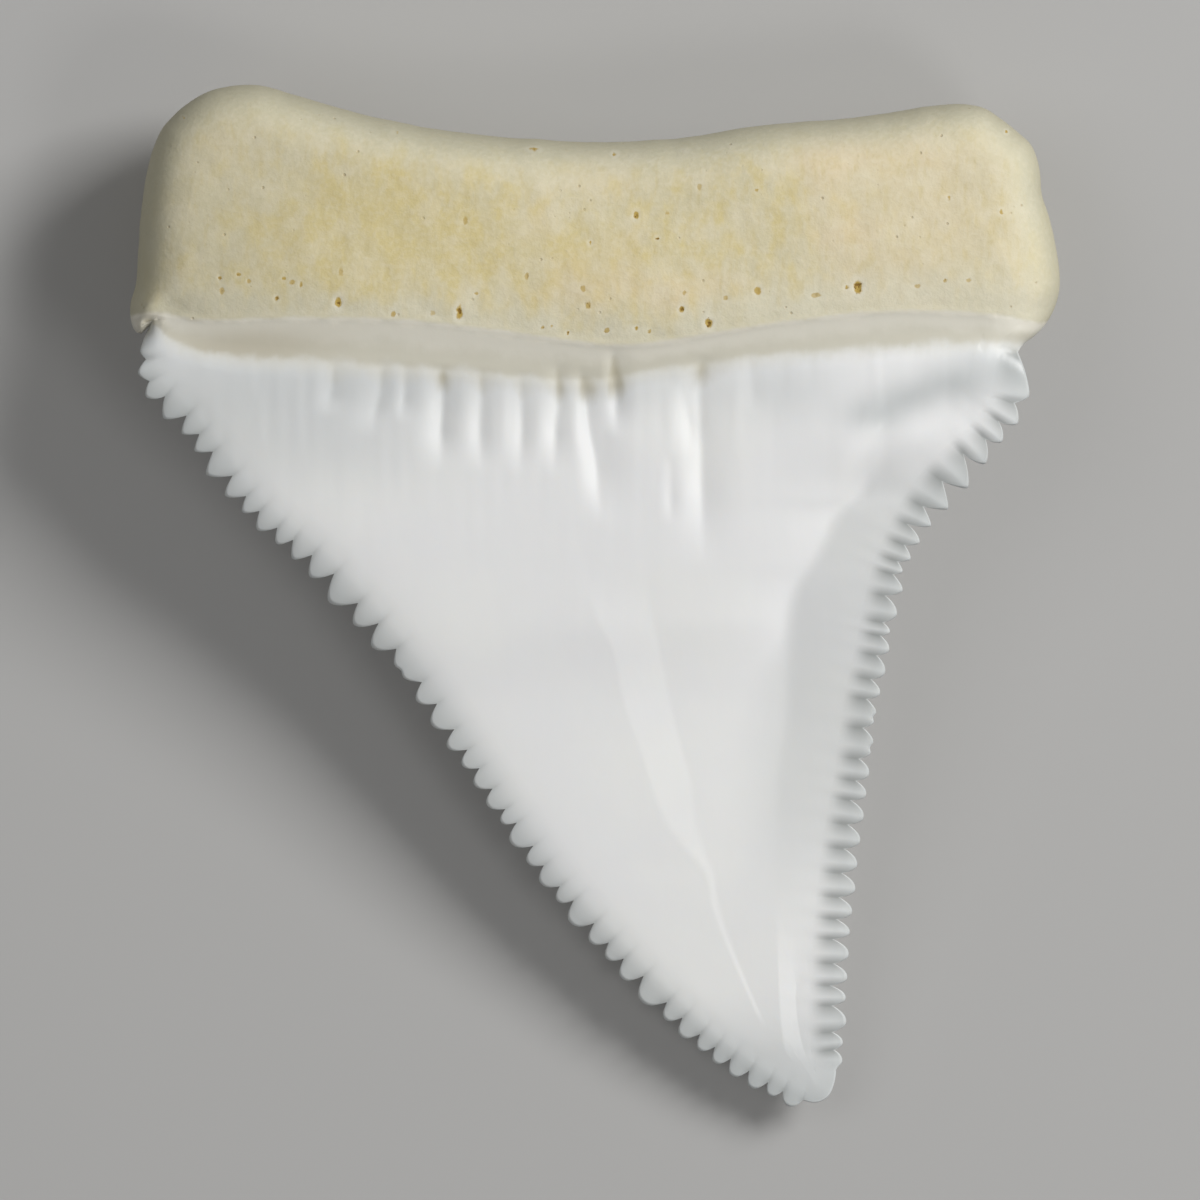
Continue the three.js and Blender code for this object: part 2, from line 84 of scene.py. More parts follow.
# How far each one stands out from the line through the notches, in tenths of a millimetre
LEFT_HEIGHTS = [
    2.6, 4.2, 5, 7, 6.2, 6.6, 8.8, 7.4, 6.2, 7, 6, 7.2, 8, 9.6, 8, 8.2, 9.4, 7, 7.6, 7.2, 6,
    6.2, 6.2, 5, 6.6, 5.4, 6, 5, 7, 6.2, 5.8, 7, 8, 6.2, 6.8, 5.8, 6, 6.4, 6.2, 4.8, 5,
]
RIGHT_HEIGHTS = [
    6, 5.4, 5, 7, 10.2, 9.6, 7, 5.6, 4.8, 3.4, 5.8, 5.2, 3.6, 4.8, 5.2, 5.2, 7.8, 8.2, 5.2, 5.4, 6.2,
    6.4, 6.3, 6.6, 6.3, 6.2, 6.4, 6.2, 5.8, 6.2, 4.2, 3.2,
]
# Notches that are cut deeper than that line, by number, in tenths of a millimetre
LEFT_DEEP = {3: 1.4, 4: 1, 7: 0.8, 13: 1, 15: 1, 24: 1, 25: 1.2, 28: 1, 29: 1, 32: 1}
RIGHT_DEEP = {2: 2, 3: 1.2, 4: 2.6, 7: 2.8, 11: 1.2, 20: 0.8, 26: 1, 28: 1}
DEEPEST_NOTCH = 0.36
# Place of its point along it: the first one's lies close to its lower end
LEFT_PEAKS = (0.8, 0.47)
RIGHT_PEAKS = (0.84, 0.6)
POINTED = 1.4  # power of a serration's outline at the shoulder
ROUNDED = 2.3  # and from halfway down
LEFT_SPLIT = [16]  # numbers of the serrations that are low and split in two
RIGHT_SPLIT = [16, 17]
SPLIT = {"share": 0.72, "dip": 0.35, "half_width": 0.14}

# Height of each face along the middle of the tooth, as (y, z)
LABIAL_LINE = [
    (23.1, 9.2), (20, 9.5), (16, 9.75), (12.5, 9.9), (10, 9.75), (7, 9.3), (3, 8.45), (-3, 6.95),
    (-9, 5.45), (-14, 4.2), (-18, 3.25), (-21, 2.6), (-23.1, 2.2),
]
LINGUAL_LINE = [
    (12, 1.3), (9, 1.5), (7, 1.5), (3, 1.3), (-3, 0.8), (-9, 0.25), (-13, -0.03), (-15.5, -0.1),
    (-18, 0.02), (-20, 0.38), (-21.8, 0.95), (-23.1, 1.5),
]
# Fall from the middle of the labial face to its sides, as a share of half its width, and its power
ROOT_FALL = {"share": 0.027, "power": 2.4}
CROWN_FALL = {"share": 0.018, "power": 6}

# Cutting edge
EDGE_THICKNESS = 0.85  # where the two faces turn in to meet
EDGE_BEVEL = (0.38, 0.62)  # the distance over which they do, on the left edge and the right one
EDGE_RIM_SHARE = 0.09  # share of the thickness that lies above the edge
LENS_POWER = 0.85  # fullness of the crown's cross-section
GROOVE_REACH = (0.35, 0.6)  # how far the groove behind each notch runs inwards
RIDGE = {"height": 0.06, "reach": 0.8, "left": 0}  # ridge down each serration; left edge's share
LAST_NOTCH = (-21.4, -20.9)

# Root
RIM_RADIUS_ABOVE = 3
RIM_RADIUS_AT_NECK = 0.6
RIM_RADIUS_BELOW = 4.6
ROOT_RIM_SHARE = 0.42  # share of the thickness that lies above the root's rim
SWELL = {"height": 0.12, "across": 0.42, "along": 0.5, "start": 1}
PAD = {"y": 15.6, "curve": 0.018, "worn": 0.1}  # the lobes touch the table along y, worn flat
SADDLE = {"rise": 0.45, "half_width": 4.2}  # shallow hollow between the lobes
LOBE_RISE = {"from": 13, "curve": 0.05}  # the lobes' ends lift off the table
RAGGED = {"height": 0.03, "spacing": 1.3, "fine_height": 0.012, "fine_spacing": 0.4}  # its outline
GRAIN = {"height": 0.03, "spacing": 1.3, "fine_height": 0.016, "fine_spacing": 0.5}

# Where the enamel starts on each face, and where the pitted root ends above it, as (x, y)
LABIAL_NECK = [
    (-21, 11.3), (-20.6, 11.5), (-20.2, 12.05), (-19.85, 12.1), (-19.1, 11.45), (-18.2, 11.05),
    (-16.3, 10.65), (-12, 10.4), (-8.8, 10.2), (-4.3, 9.85), (-1.5, 9.6), (0.2, 9.65), (1.8, 9.9), (4.7, 10.35), (9.2, 10.85), (13.8, 11.2), (17.5, 11.4), (19.6, 11.3),
]
BAND_TOP = [
    (-21, 12.6), (-20, 12.7), (-17.5, 12.4), (-14.1, 12.5), (-8.8, 12.4), (-4.3, 11.9), (0.2, 11.3),
    (2.6, 11.35), (4.7, 11.7), (9.2, 12.4), (13.8, 12.8), (18.3, 12.6), (20, 12.3),
]
LINGUAL_NECK = [
    (-20.6, 11.8), (-14, 9.9), (-7, 8), (0, 7.2), (7, 8), (14, 9.9), (19.6, 11.5),
]
LINGUAL_BAND = 1.6
LABIAL_BLEND = 0.7  # half the height over which root passes into crown
LINGUAL_BLEND = 1.9
BAND_DEPTH = 0.1
BAND_LIP = {"height": 0.05, "half_width": 0.16}  # fine raised line where the band begins
ENAMEL_STEP = {"height": 0.06, "fades_from": 0.5, "fades_to": 5}

# Sharp grooves below the neck: x and y at the top, x and y at the foot, sideways bow, depth, width
# left and right
FLUTES = [
    (-11.7, 10.75, -12.05, 8, 0.05, 0.15, 0.9, 1.3),
    (-9.55, 10.7, -10.2, 7.1, 0.1, 0.16, 1.2, 0.9),
    (-8.5, 10.6, -8.8, 7.7, 0.05, 0.13, 0.6, 0.9),
    (-6.95, 10.5, -7.1, 5.5, 0.16, 0.26, 1.2, 1.2),
    (-5.1, 10.3, -5.15, 5.4, -0.08, 0.17, 1.1, 1),
    (-3.35, 10.2, -3.4, 5.3, 0.06, 0.14, 0.9, 0.8),
    (-1.7, 10.7, -1.85, 5.2, 0.05, 0.17, 0.9, 0.9),
    (-0.7, 10.4, 0.3, 3, 0.06, 0.23, 0.9, 2.3),
    (0.78, 11.3, 0.98, 7, -0.04, 0.2, 0.6, 1.1),
    (3.8, 9.9, 4.35, 6.3, 0.05, 0.08, 0.9, 1.1),
    (3.35, 6.5, 3.45, 3, 0.04, 0.06, 0.5, 0.6),
    (4.75, 11, 4.9, 1, -0.05, 0.22, 1.5, 1.8),
    (6.95, 11.1, 7.05, 8, 0.04, 0.05, 0.7, 0.9),
]
FLUTE_STARTS_OVER = 2.6
FLUTE_FADES_FROM = 0.62  # share of its length
FLUTE_WOBBLE = {"height": 0.08, "spacing": 1.5}
STREAKS = {"height": 0.014, "across": 0.42, "along": 2.6, "reach": 5}  # fine upright unevenness by the neck
CREASE_ROUNDING = 0.09

# Line of the valley beside the right cutting edge, as (y, x), and the slopes on both its sides
VALLEY_LINE = [
    (6.6, 13.2), (5.4, 12.4), (4.5, 11.85), (3.8, 11), (2.6, 10.4), (1.5, 9.8), (0.5, 9.1),
    (-0.8, 8.75), (-3, 8.65), (-5.6, 8.55), (-7.9, 8.2), (-11, 8.1),
]
VALLEY = {"depth": 0.54, "left": (2.7, 9), "widens": (-1, -5), "rounding": 0.3, "from": 7.4, "full": 4.4, "last": -4, "to": -15}

# Shallow hollow under the right shoulder, as (x, y)
HOLLOW_LINE = [(11, 5.9), (12.4, 7.1), (13.9, 8.1), (15.2, 8.5), (16.5, 8.8), (18.4, 9)]
HOLLOW = {"depth": 0.25, "half_width": 1.0, "from": 11, "full": 13.4, "last": 15.6, "to": 18.2}

# Both borders of the step down the crown's middle, as (y, x): it narrows to a line near the tip
STEP_LEFT = [
    (0.6, -0.6), (-1.5, 0.3), (-2.5, 0.8), (-4.7, 1.25), (-7.4, 2.15), (-10, 3.05), (-11.5, 4.1),
    (-12.5, 4.95), (-14.2, 5.3), (-15.7, 5.85), (-17.8, 6.75), (-19.5, 7.5),
]
STEP_RIGHT = [
    (0.6, 2.15), (-2.5, 2.9), (-5.5, 3.5), (-8.2, 4.25), (-10.7, 4.6), (-12.7, 5.35),
    (-14.2, 5.6), (-15.7, 6.1), (-17.8, 6.95), (-19.5, 7.7),
]
STEP = {"drop": 0.012, "drop_share": 0.05, "reach": 4, "from": 1.8, "full": -2, "last": -18.8, "to": -19.8}

# Both borders of the narrow facet that ends at the tip, as (y, x)
FACET_LEFT = [(-14, 8.2), (-18.3, 8.34), (-20.1, 8.5), (-20.85, 8.68), (-21.4, 9.2), (-21.8, 9.75)]
FACET_RIGHT = [(-14, 9.4), (-18.3, 9.1), (-20.1, 9.32), (-21.1, 9.6), (-21.8, 9.9)]
FACET = {"drop": 0, "drop_share": 0.13, "reach": 2, "from": -13.5, "full": -18, "last": -20.2, "to": -21.5}

# Pits of the root's outer face: x, y, half width, half height and how deep and dark, up to 1
PITS = [
    (11.82, 13.86, 0.23, 0.31, 1), (5.09, 12.23, 0.17, 0.28, 1), (-11.6, 13.18, 0.16, 0.25, 0.9),
    (-6.13, 12.73, 0.15, 0.34, 0.8), (3.87, 12.86, 0.13, 0.18, 0.8), (-0.57, 13.77, 0.12, 0.2, 0.4),
    (-0.34, 13.04, 0.13, 0.26, 0.5), (7.3, 13.68, 0.17, 0.2, 0.6), (11.33, 13.86, 0.11, 0.11, 0.7),
    (9.92, 13.5, 0.24, 0.13, 0.35), (5.85, 13.36, 0.12, 0.14, 0.4), (4, 13.59, 0.12, 0.15, 0.35),
    (2.42, 11.87, 0.1, 0.11, 0.5), (1.83, 12, 0.1, 0.1, 0.8), (0.52, 11.91, 0.16, 0.13, 0.5),
    (-1.24, 11.78, 0.1, 0.1, 0.9), (-2.37, 12.05, 0.12, 0.1, 0.5), (-1.97, 12.09, 0.1, 0.09, 0.4),
    (-3.1, 14.35, 0.12, 0.2, 0.35), (-5.36, 13.59, 0.11, 0.12, 0.5), (-7.35, 12.68, 0.14, 0.14, 0.25),
    (-9.11, 12.64, 0.12, 0.17, 0.5), (-11.46, 14.53, 0.12, 0.22, 0.25), (-14.35, 13.36, 0.13, 0.14, 0.6),
    (-14.04, 14.26, 0.1, 0.13, 0.6), (-13.68, 14.08, 0.18, 0.13, 0.45), (-13.27, 13.99, 0.09, 0.15, 0.5),
    (-16.93, 14.26, 0.11, 0.11, 0.5), (-16.07, 14.44, 0.13, 0.12, 0.5), (-15.62, 14.13, 0.1, 0.13, 0.4),
    (-16.84, 13.68, 0.12, 0.17, 0.35), (14.49, 13.9, 0.18, 0.1, 0.3), (15.76, 14.17, 0.1, 0.12, 0.45),
    (16.8, 14.17, 0.14, 0.1, 0.3), (1.83, 17.11, 0.12, 0.22, 0.7), (-0.25, 15.85, 0.09, 0.12, 0.8),
    (2.78, 16.07, 0.1, 0.1, 0.7), (3.23, 17.2, 0.1, 0.1, 0.3), (7.26, 18.24, 0.1, 0.1, 0.5),
    (4.68, 18.38, 0.11, 0.2, 0.25), (15.94, 17.88, 0.12, 0.12, 0.6), (18.33, 17.29, 0.14, 0.14, 0.6),
    (17.7, 19.96, 0.1, 0.09, 0.6), (18.56, 20.91, 0.1, 0.1, 0.8),
    (18.65, 19.64, 0.1, 0.12, 0.4), (15.57, 20.5, 0.15, 0.09, 0.4), (-5.86, 16.84, 0.12, 0.2, 0.35),
    (-14.99, 21.41, 0.16, 0.22, 0.4), (-17.29, 21.36, 0.11, 0.1, 0.5), (-18.65, 21.54, 0.11, 0.1, 0.5),
    (-9.02, 20.86, 0.17, 0.09, 0.4), (0.88, 19.9, 0.13, 0.13, 1), (-2.78, 20.1, 0.27, 0.1, 0.6),
    (4.05, 20.05, 0.12, 0.1, 0.6),
]
PIT_SIZE = 0.8
PIT_DEPTH = 0.11

# Patches of colour: x, y, half width, half height and strength. Yellower ones on root and band
WARM_PATCHES = [
    (-6.5, 16, 6, 3, 0.7), (-12.5, 15.5, 5, 2.6, 0.7), (8, 17.2, 5.5, 2.8, 0.45), (1, 14.8, 5, 3, 0.6),
    (-20.2, 13.6, 0.8, 1.8, 0.9), (-11, 18.5, 4, 2, 0.5), (20.3, 15.5, 0.6, 3, 0.6),
    (-15.8, 11.2, 4.2, 0.9, 0.8),
]
PINK_PATCHES = [(15, 17, 6, 4, 0.7), (4, 13.6, 6, 1.2, 0.4), (12, 20, 5, 1.4, 0.4), (-15.5, 19.5, 3, 2, 0.25)]
# Greyer ones below the neck, and painted shade: in the hollow under the right shoulder, on that shoulder
# and on the root's left lobe
GREY_AND_SHADE_PATCHES = [
    (-15, 9.6, 8, 2.8, 0.36), (-7, 9.8, 6, 1.6, 0.3), (2, 9.6, 4, 1.4, 0.3), (-12, 6.4, 6, 2, 0.22),
    (8.6, 9.4, 2.6, 1.8, 0.34), (12.5, 8.1, 1.3, 0.8, 0.5), (14, 8.9, 1.4, 0.8, 0.5), (15.9, 9.6, 1.4, 0.8, 0.45),
    (18.6, 10.4, 2.4, 1.6, 0.6), (-17.5, 17, 5, 7, 0.3),
]
# Painted shade in the trough between the valley and the right cutting edge
TROUGH_SHADE = {"share": 0.24, "from": 7, "full": 4.6, "last": -9, "to": -16}
# Grey thin enamel with painted shade along both cutting edges, and painted shade along the root's rim
EDGE_GREY_AND_SHADE = {"share": (0.68, 0.6), "from": (1.5, 1.2), "to": -0.6}  # on the left edge and the right one
# Painted shade in and behind the notches, where the enamel is also thin and grey
NOTCH_SHADE = {"share": (0.5, 0.75), "power": (3.5, 1.1), "full": (-0.2, 0.3), "ends": (0.6, 1.2)}
# Grey thin enamel with painted shade towards the tip
TIP_GREY_AND_SHADE = {"share": 0.5, "from": -17.5, "to": -22.5}

# Mesh fineness
LABIAL_GRID = {"root_rows": 74, "crown_rows": 176, "columns": 328, "halved_at": (128, 184)}
LINGUAL_GRID = {"root_rows": 34, "crown_rows": 70, "columns": 96, "halved_at": (84,)}
GRID_CORNERS = [(-18.6, 22.1), (9.3, -22.95), (10.85, -21.9), (18.6, 21.4)]
ROOT_SHARE = 0.27  # of the tooth's length
ROW_CROWDING = 1.15  # rows lie closer beside the neck
SIDE_POWER = 8  # how close to the grid's sides its rows follow the neck
OUTER_RINGS = [0.85, 0.6, 0.3, 0]  # between the deepest notch, 0, and the serrated rim, 1
INNER_RINGS = [0.08, 0.17, 0.28, 0.42, 0.6, 0.8]  # between the deepest notch, 0, and the grid's border, 1
THINNED_RING = 7  # from this ring on, one has every second point
INSET = 2.1  # from the rim to the grid's border
TIP_INSET = {"least": 0.75, "from": -15, "to": -22.5}
SMOOTHING = 1.1  # distance over which the grid's border rounds off the outline
SERRATION_STEPS = 12
TIP_STEPS = 24
ROOT_STEPS = 260

# Camera and light, as in the photograph
PHOTO_WIDTH = 54.25  # millimetres across the picture at the reference height
PHOTO_MIDDLE = (0.22, -0.14)
REFERENCE_HEIGHT = 7
LENS = 500
SENSOR = 36


def bell(offset, half_width):
    return np.exp(-((offset / half_width) ** 2))


def mix(a, b, share):
    return a + (b - a) * share


def ramp(value, start, end):
    """Goes smoothly from 0 at start to 1 at end, whichever is larger."""
    share = np.clip((value - start) / (end - start), 0, 1)
    return share * share * (3 - 2 * share)


def rounded_rise(share):
    """Steep at 0 and easing off to 1 without a visible end: the root of 1 - (1 - share)^3."""
    return np.sqrt(1 - (1 - np.clip(share, 0, 1)) ** 3)


def rounded_distance(offset, rounding=CREASE_ROUNDING):
    """Distance from a crease line, rounded off within a short way of it."""
    return np.sqrt(offset ** 2 + rounding ** 2) - rounding


def crease(offset, left, right):
    """Profile of a sharp crease: (1 - distance / width) squared, with its own width on each side."""
    return np.maximum(1 - rounded_distance(offset) / np.where(offset < 0, left, right), 0) ** 2


def curve_through(points):
    """Smooth curve y(x): between two points a straight line, bowed by u(1-u) times the difference
    between the slope at each end, taken from its neighbours, and the line's own slope."""
    x, y = np.array(sorted(points), float).T
    before = np.maximum(np.arange(len(x)) - 1, 0)
    after = np.minimum(np.arange(len(x)) + 1, len(x) - 1)
    slope = (y[after] - y[before]) / (x[after] - x[before])

    def curve(at):
        within = np.clip(at, x[0], x[-1])
        i = np.clip(np.searchsorted(x, within) - 1, 0, len(x) - 2)
        span = x[i + 1] - x[i]
        rise = y[i + 1] - y[i]
        u = (within - x[i]) / span
        bow = (1 - u) * (slope[i] - rise / span) - u * (slope[i + 1] - rise / span)
        return y[i] + rise * u + u * (1 - u) * span * bow

    return curve


def spline_at(points, t):
    """Centripetal Catmull-Rom spline: a cubic between two points, whose slopes weigh the chords on
    both sides by the square roots of their lengths."""
    p = np.vstack([2 * points[0] - points[1], points, 2 * points[-1] - points[-2]])
    at = np.clip(t, 0, 1) * (len(points) - 1)
    i = np.minimum(at.astype(int), len(points) - 2)
    u = (at - i)[:, None]
    a, b, c, d = p[i], p[i + 1], p[i + 2], p[i + 3]
    ab, bc, cd = (np.sqrt(np.linalg.norm(q, axis=1))[:, None] for q in (b - a, c - b, d - c))
    leave = ((b - a) / ab - (c - a) / (ab + bc) + (c - b) / bc) * bc
    arrive = ((c - b) / bc - (d - b) / (bc + cd) + (d - c) / cd) * bc
    return b + leave * u + (3 * (c - b) - 2 * leave - arrive) * u ** 2 + (2 * (b - c) + leave + arrive) * u ** 3


def even_points(points):
    """Points at an even spacing along the spline, without its last one."""
    points = np.array(points, float)
    t = np.linspace(0, 1, 2001)
    run = np.insert(np.cumsum(np.linalg.norm(np.diff(spline_at(points, t), axis=0), axis=1)), 0, 0)
    steps = round(run[-1] / BASE_STEP)
    return spline_at(points, np.interp(np.linspace(0, run[-1], steps + 1), run, t))[:-1]


def value_noise(p, spacing, seed):
    """Smooth noise from -1 to 1: random values on a square lattice, eased between its corners."""
    lattice = np.random.default_rng(seed).uniform(-1, 1, (128, 128))
    cell = np.floor(p / spacing).astype(int)
    u = p / spacing - cell
    u = u * u * (3 - 2 * u)
    i, j = cell[:, 0] % 128, cell[:, 1] % 128
    low = mix(lattice[i, j], lattice[(i + 1) % 128, j], u[:, 0])
    high = mix(lattice[i, (j + 1) % 128], lattice[(i + 1) % 128, (j + 1) % 128], u[:, 0])
    return mix(low, high, u[:, 1])


def averaged(line, distance):
    """A closed line averaged along itself with bell-shaped weights."""
    reach = round(2.5 * distance / BASE_STEP)
    steps = np.arange(-reach, reach + 1)
    weights = bell(steps * BASE_STEP, distance * math.sqrt(2))
    return sum(w * np.roll(line, -k, axis=0) for k, w in zip(steps, weights / weights.sum()))


def outward_normals(line):
    along = np.roll(line, -2, axis=0) - np.roll(line, 2, axis=0)
    along /= np.linalg.norm(along, axis=1)[:, None]
    return np.stack([along[:, 1], -along[:, 0]], axis=1)


def inner_line():
    """The line INSET inside the outline, where the grids end."""
    soft = averaged(base, SMOOTHING)
    inset = mix(INSET, TIP_INSET["least"], ramp(soft[:, 1], TIP_INSET["from"], TIP_INSET["to"]))
    return averaged(soft - outward_normals(soft) * inset[:, None], SMOOTHING / 2)


def roughened(line, first):
    """The closed line with small uneven dents from one index on, fading out at both ends."""
    index = np.arange(len(line))
    share = ramp(index, first, first + 12) * ramp(index, len(line), len(line) - 12)
    dent = RAGGED["height"] * value_noise(line, RAGGED["spacing"], 5)
    dent += RAGGED["fine_height"] * value_noise(line, RAGGED["fine_spacing"], 6)
    return line + outward_normals(line) * (dent * share)[:, None]


crown_base = even_points(CROWN_EDGE)
smooth_base = np.vstack([crown_base, even_points(ROOT_RIM)])
base = roughened(smooth_base, len(crown_base))  # closed, anticlockwise, from the left shoulder
ROUND = len(base)
edge_normals = outward_normals(averaged(base, SMOOTHING / 3))
inner = inner_line()


def point_on(line, position):
    """Points on a closed line at fractional indices."""
    i = np.floor(position).astype(int)
    share = (position - i)[..., None]
    return mix(line[i % ROUND], line[(i + 1) % ROUND], share)


def base_index(place):
    return int(np.argmin(np.linalg.norm(base - np.array(place), axis=1)))


left_end = base_index(LEFT_END)
right_end = base_index(RIGHT_END)


def serrations_along(lengths, heights, deep, peaks, start, end, split):
    """Serrations as stretches of the base line, from the shoulder to the tip."""
    bounds = mix(start, end, np.insert(np.cumsum(lengths), 0, 0) / sum(lengths))
    number = np.arange(len(lengths))
    notches = np.array([deep.get(k, 0) for k in range(len(lengths) + 1)])
    return {"bounds": bounds, "full": np.array(heights) / 10, "notches": notches / 10,
            "power": mix(POINTED, ROUNDED, ramp(number / len(lengths), 0.1, 0.6)),
            "peak": mix(peaks[0], peaks[1], ramp(number, -0.4, 1.6)), "split": np.isin(number, split)}


LEFT_EDGE = serrations_along(LEFT_LENGTHS, LEFT_HEIGHTS, LEFT_DEEP, LEFT_PEAKS, 0, left_end, LEFT_SPLIT)
RIGHT_EDGE = serrations_along(RIGHT_LENGTHS, RIGHT_HEIGHTS, RIGHT_DEEP, RIGHT_PEAKS, len(crown_base),
                              right_end, RIGHT_SPLIT)


def serration_at(edge, at):
    """Which serration of an edge a place lies on, how far along it, and from its peak to a notch."""
    bounds = edge["bounds"]
    direction = np.sign(bounds[-1] - bounds[0])
    number = np.searchsorted(direction * bounds, direction * at, side="right") - 1
    on_edge = (number >= 0) & (number < len(edge["full"]))
    k = np.clip(number, 0, len(edge["full"]) - 1)
    along = (at - bounds[k]) / (bounds[k + 1] - bounds[k])
    peak = edge["peak"][k]
    return k, on_edge, along, np.clip(np.abs(along - peak) / np.where(along < peak, peak, 1 - peak), 0, 1)


def stand_out_of(edge, at):
    """How far one edge's serrations stand out from the notch line: full height times 1 - u^power,
    with u from the serration's peak to its notches, a dip at the peak of a split one, and less the
    depth of a deep notch times u^4."""
    k, on_edge, along, u = serration_at(edge, at)
    peak = edge["peak"][k]
    height = edge["full"][k] * (1 - u ** edge["power"][k])
    lowered = SPLIT["share"] * (1 - SPLIT["dip"] * bell(along - peak, SPLIT["half_width"]))
    notch = edge["notches"][k + (along > peak)] * u ** 4
    return np.where(on_edge, height * np.where(edge["split"][k], lowered, 1) - notch, 0)


def stand_out(at):
    wrapped = np.mod(at, ROUND)
    return stand_out_of(LEFT_EDGE, wrapped) + stand_out_of(RIGHT_EDGE, wrapped)


def notch_nearness(at):
    """0 at the peak of a serration and 1 at its notches, rising evenly; 0 off the cutting edges."""
    wrapped = np.mod(at, ROUND)
    return sum(np.where(on_edge, u, 0) for _, on_edge, _, u in (
        serration_at(LEFT_EDGE, wrapped), serration_at(RIGHT_EDGE, wrapped)))


def right_share(at):
    """0 on the left cutting edge, 1 on the right one."""
    wrapped = np.mod(at, ROUND)
    return ramp(wrapped, left_end, right_end) * ramp(wrapped, ROUND, len(crown_base))


def off_the_tip(y, at):
    """1 along both cutting edges, easing off to 0 at the right one's last notch, next to the tip."""
    return mix(1, ramp(y, *LAST_NOTCH), right_share(at))


def swapped(points):
    return [(y, x) for x, y in points]


labial_line = curve_through(LABIAL_LINE)
lingual_line = curve_through(LINGUAL_LINE)
labial_neck = curve_through(LABIAL_NECK)
band_top = curve_through(BAND_TOP)
lingual_neck = curve_through(LINGUAL_NECK)
left_side = curve_through(swapped(CROWN_EDGE[1:LOWEST_EDGE_POINT + 1]))
right_side = curve_through(swapped(CROWN_EDGE[LOWEST_EDGE_POINT:-1]))
valley_line = curve_through(VALLEY_LINE)
hollow_line = curve_through(HOLLOW_LINE)
step_left = curve_through(STEP_LEFT)
step_right = curve_through(STEP_RIGHT)
facet_left = curve_through(FACET_LEFT)
facet_right = curve_through(FACET_RIGHT)


def window(value, size):
    """Rises from 0 to 1 between size's from and full, and falls to 0 between its last and to."""
    return ramp(value, size["from"], size["full"]) * ramp(value, size["to"], size["last"])


def flutes(x, y):
    """Sharp grooves below the neck, each a crease along its own bowed and slightly uneven line. They
    deepen from the top on and fade out towards the foot, where their left flank is widest."""
    total = np.zeros_like(x)
    for number, (top_x, top_y, foot_x, foot_y, bow, depth, left, right) in enumerate(FLUTES):
        down = np.clip((top_y - y) / (top_y - foot_y), 0, 1)
        wobble = value_noise(np.column_stack([np.full_like(y, 7.3 * number), y]), FLUTE_WOBBLE["spacing"], 8)
        centre = mix(top_x, foot_x, down) + 4 * bow * down * (1 - down) + FLUTE_WOBBLE["height"] * wobble
        starts = mix(0.4, 1, ramp(top_y - y, 0, FLUTE_STARTS_OVER)) * ramp(top_y - y, 0, 0.7)
        own_left = left * mix(0.75, 1.15, down)
        total += depth * crease(x - centre, own_left, right) * starts * ramp(down, 1, FLUTE_FADES_FROM)
    return total


def stepped_down(x, y, left_line, right_line, size):
    """Step down between two lines: half its drop above the left line and half below the right one,
    eased between them, and fading away from both."""
    left, right = left_line(y), right_line(y)
    drop = size["drop"] + size["drop_share"] * (right - left)
    share = np.clip((x - left) / (right - left), 0, 1)
    away = np.exp(-np.maximum(np.maximum(left - x, x - right), 0) / size["reach"])
    return drop * (0.5 - share) * away * window(y, size)


def valley(x, y):
    """Valley whose right flank rises evenly to the cutting edge, and whose left one eases off, ever
    more slowly further down."""
    offset = x - valley_line(y)
    width = right_side(y) - valley_line(y)
    away = rounded_distance(offset, VALLEY["rounding"])
    reach = mix(*VALLEY["left"], ramp(y, *VALLEY["widens"]))
    profile = np.where(offset < 0, np.exp(-away / reach), np.maximum(1 - away / width, 0))
    return VALLEY["depth"] * profile * window(y, VALLEY)


def streaks(x, y):
    """Fine upright unevenness that fades out below the neck."""
    noise = value_noise(np.column_stack([x / STREAKS["across"], y / STREAKS["along"]]), 1, 9)
    below = labial_neck(x) - y
    return STREAKS["height"] * noise * ramp(below, -0.4, 0.8) * np.exp(-np.maximum(below, 0) / STREAKS["reach"])


def crown_relief(x, y):
    """Relief of the enamel's outer face."""
    hollow = HOLLOW["depth"] * bell(y - hollow_line(x), HOLLOW["half_width"]) * window(x, HOLLOW)
    steps = stepped_down(x, y, step_left, step_right, STEP) + stepped_down(x, y, facet_left, facet_right, FACET)
    return steps + streaks(x, y) - valley(x, y) - hollow - flutes(x, y)


def pit_field(x, y):
    """Place relative to the nearest pit, below 0 inside it, and that pit's strength."""
    field = np.full_like(x, 4.0)
    strength = np.zeros_like(x)
    for pit_x, pit_y, half_width, half_height, depth in PITS:
        own = np.hypot((x - pit_x) / half_width, (y - pit_y) / half_height) / PIT_SIZE - 1
        nearer = own < field
        field = np.where(nearer, own, field)
        strength = np.where(nearer, depth, strength)
    return field, strength


def root_relief(p):
    """Relief of the root's outer face: gentle swell, grain and pits with rounded rims."""
    x, y = p.T
    swell = SWELL["height"] * np.sin(x * SWELL["across"] + SWELL["start"]) * np.cos(y * SWELL["along"])
    grain = GRAIN["height"] * value_noise(p, GRAIN["spacing"], 1)
    grain += GRAIN["fine_height"] * value_noise(p, GRAIN["fine_spacing"], 2)
    field, strength = pit_field(x, y)
    return swell, grain - PIT_DEPTH * strength * ramp(field, 0.3, -0.9)


def labial_relief(p):
    x, y = p.T
    below = labial_neck(x) - y
    above_band = y - band_top(x)
    middle = (labial_neck(x) + band_top(x)) / 2
    band = BAND_DEPTH * bell(y - middle, 0.75)
    lip = BAND_LIP["height"] * bell(above_band, BAND_LIP["half_width"])
    fading = ramp(below, ENAMEL_STEP["fades_from"], ENAMEL_STEP["fades_to"])
    step = ENAMEL_STEP["height"] * (ramp(below, -0.2, 0.25) - fading)
    swell, rough = root_relief(p)
    on_root = ramp(above_band, -0.1, 0.4)
    return step + lip - band + crown_relief(x, y) + swell * ramp(above_band, 0, 2.7) + rough * on_root


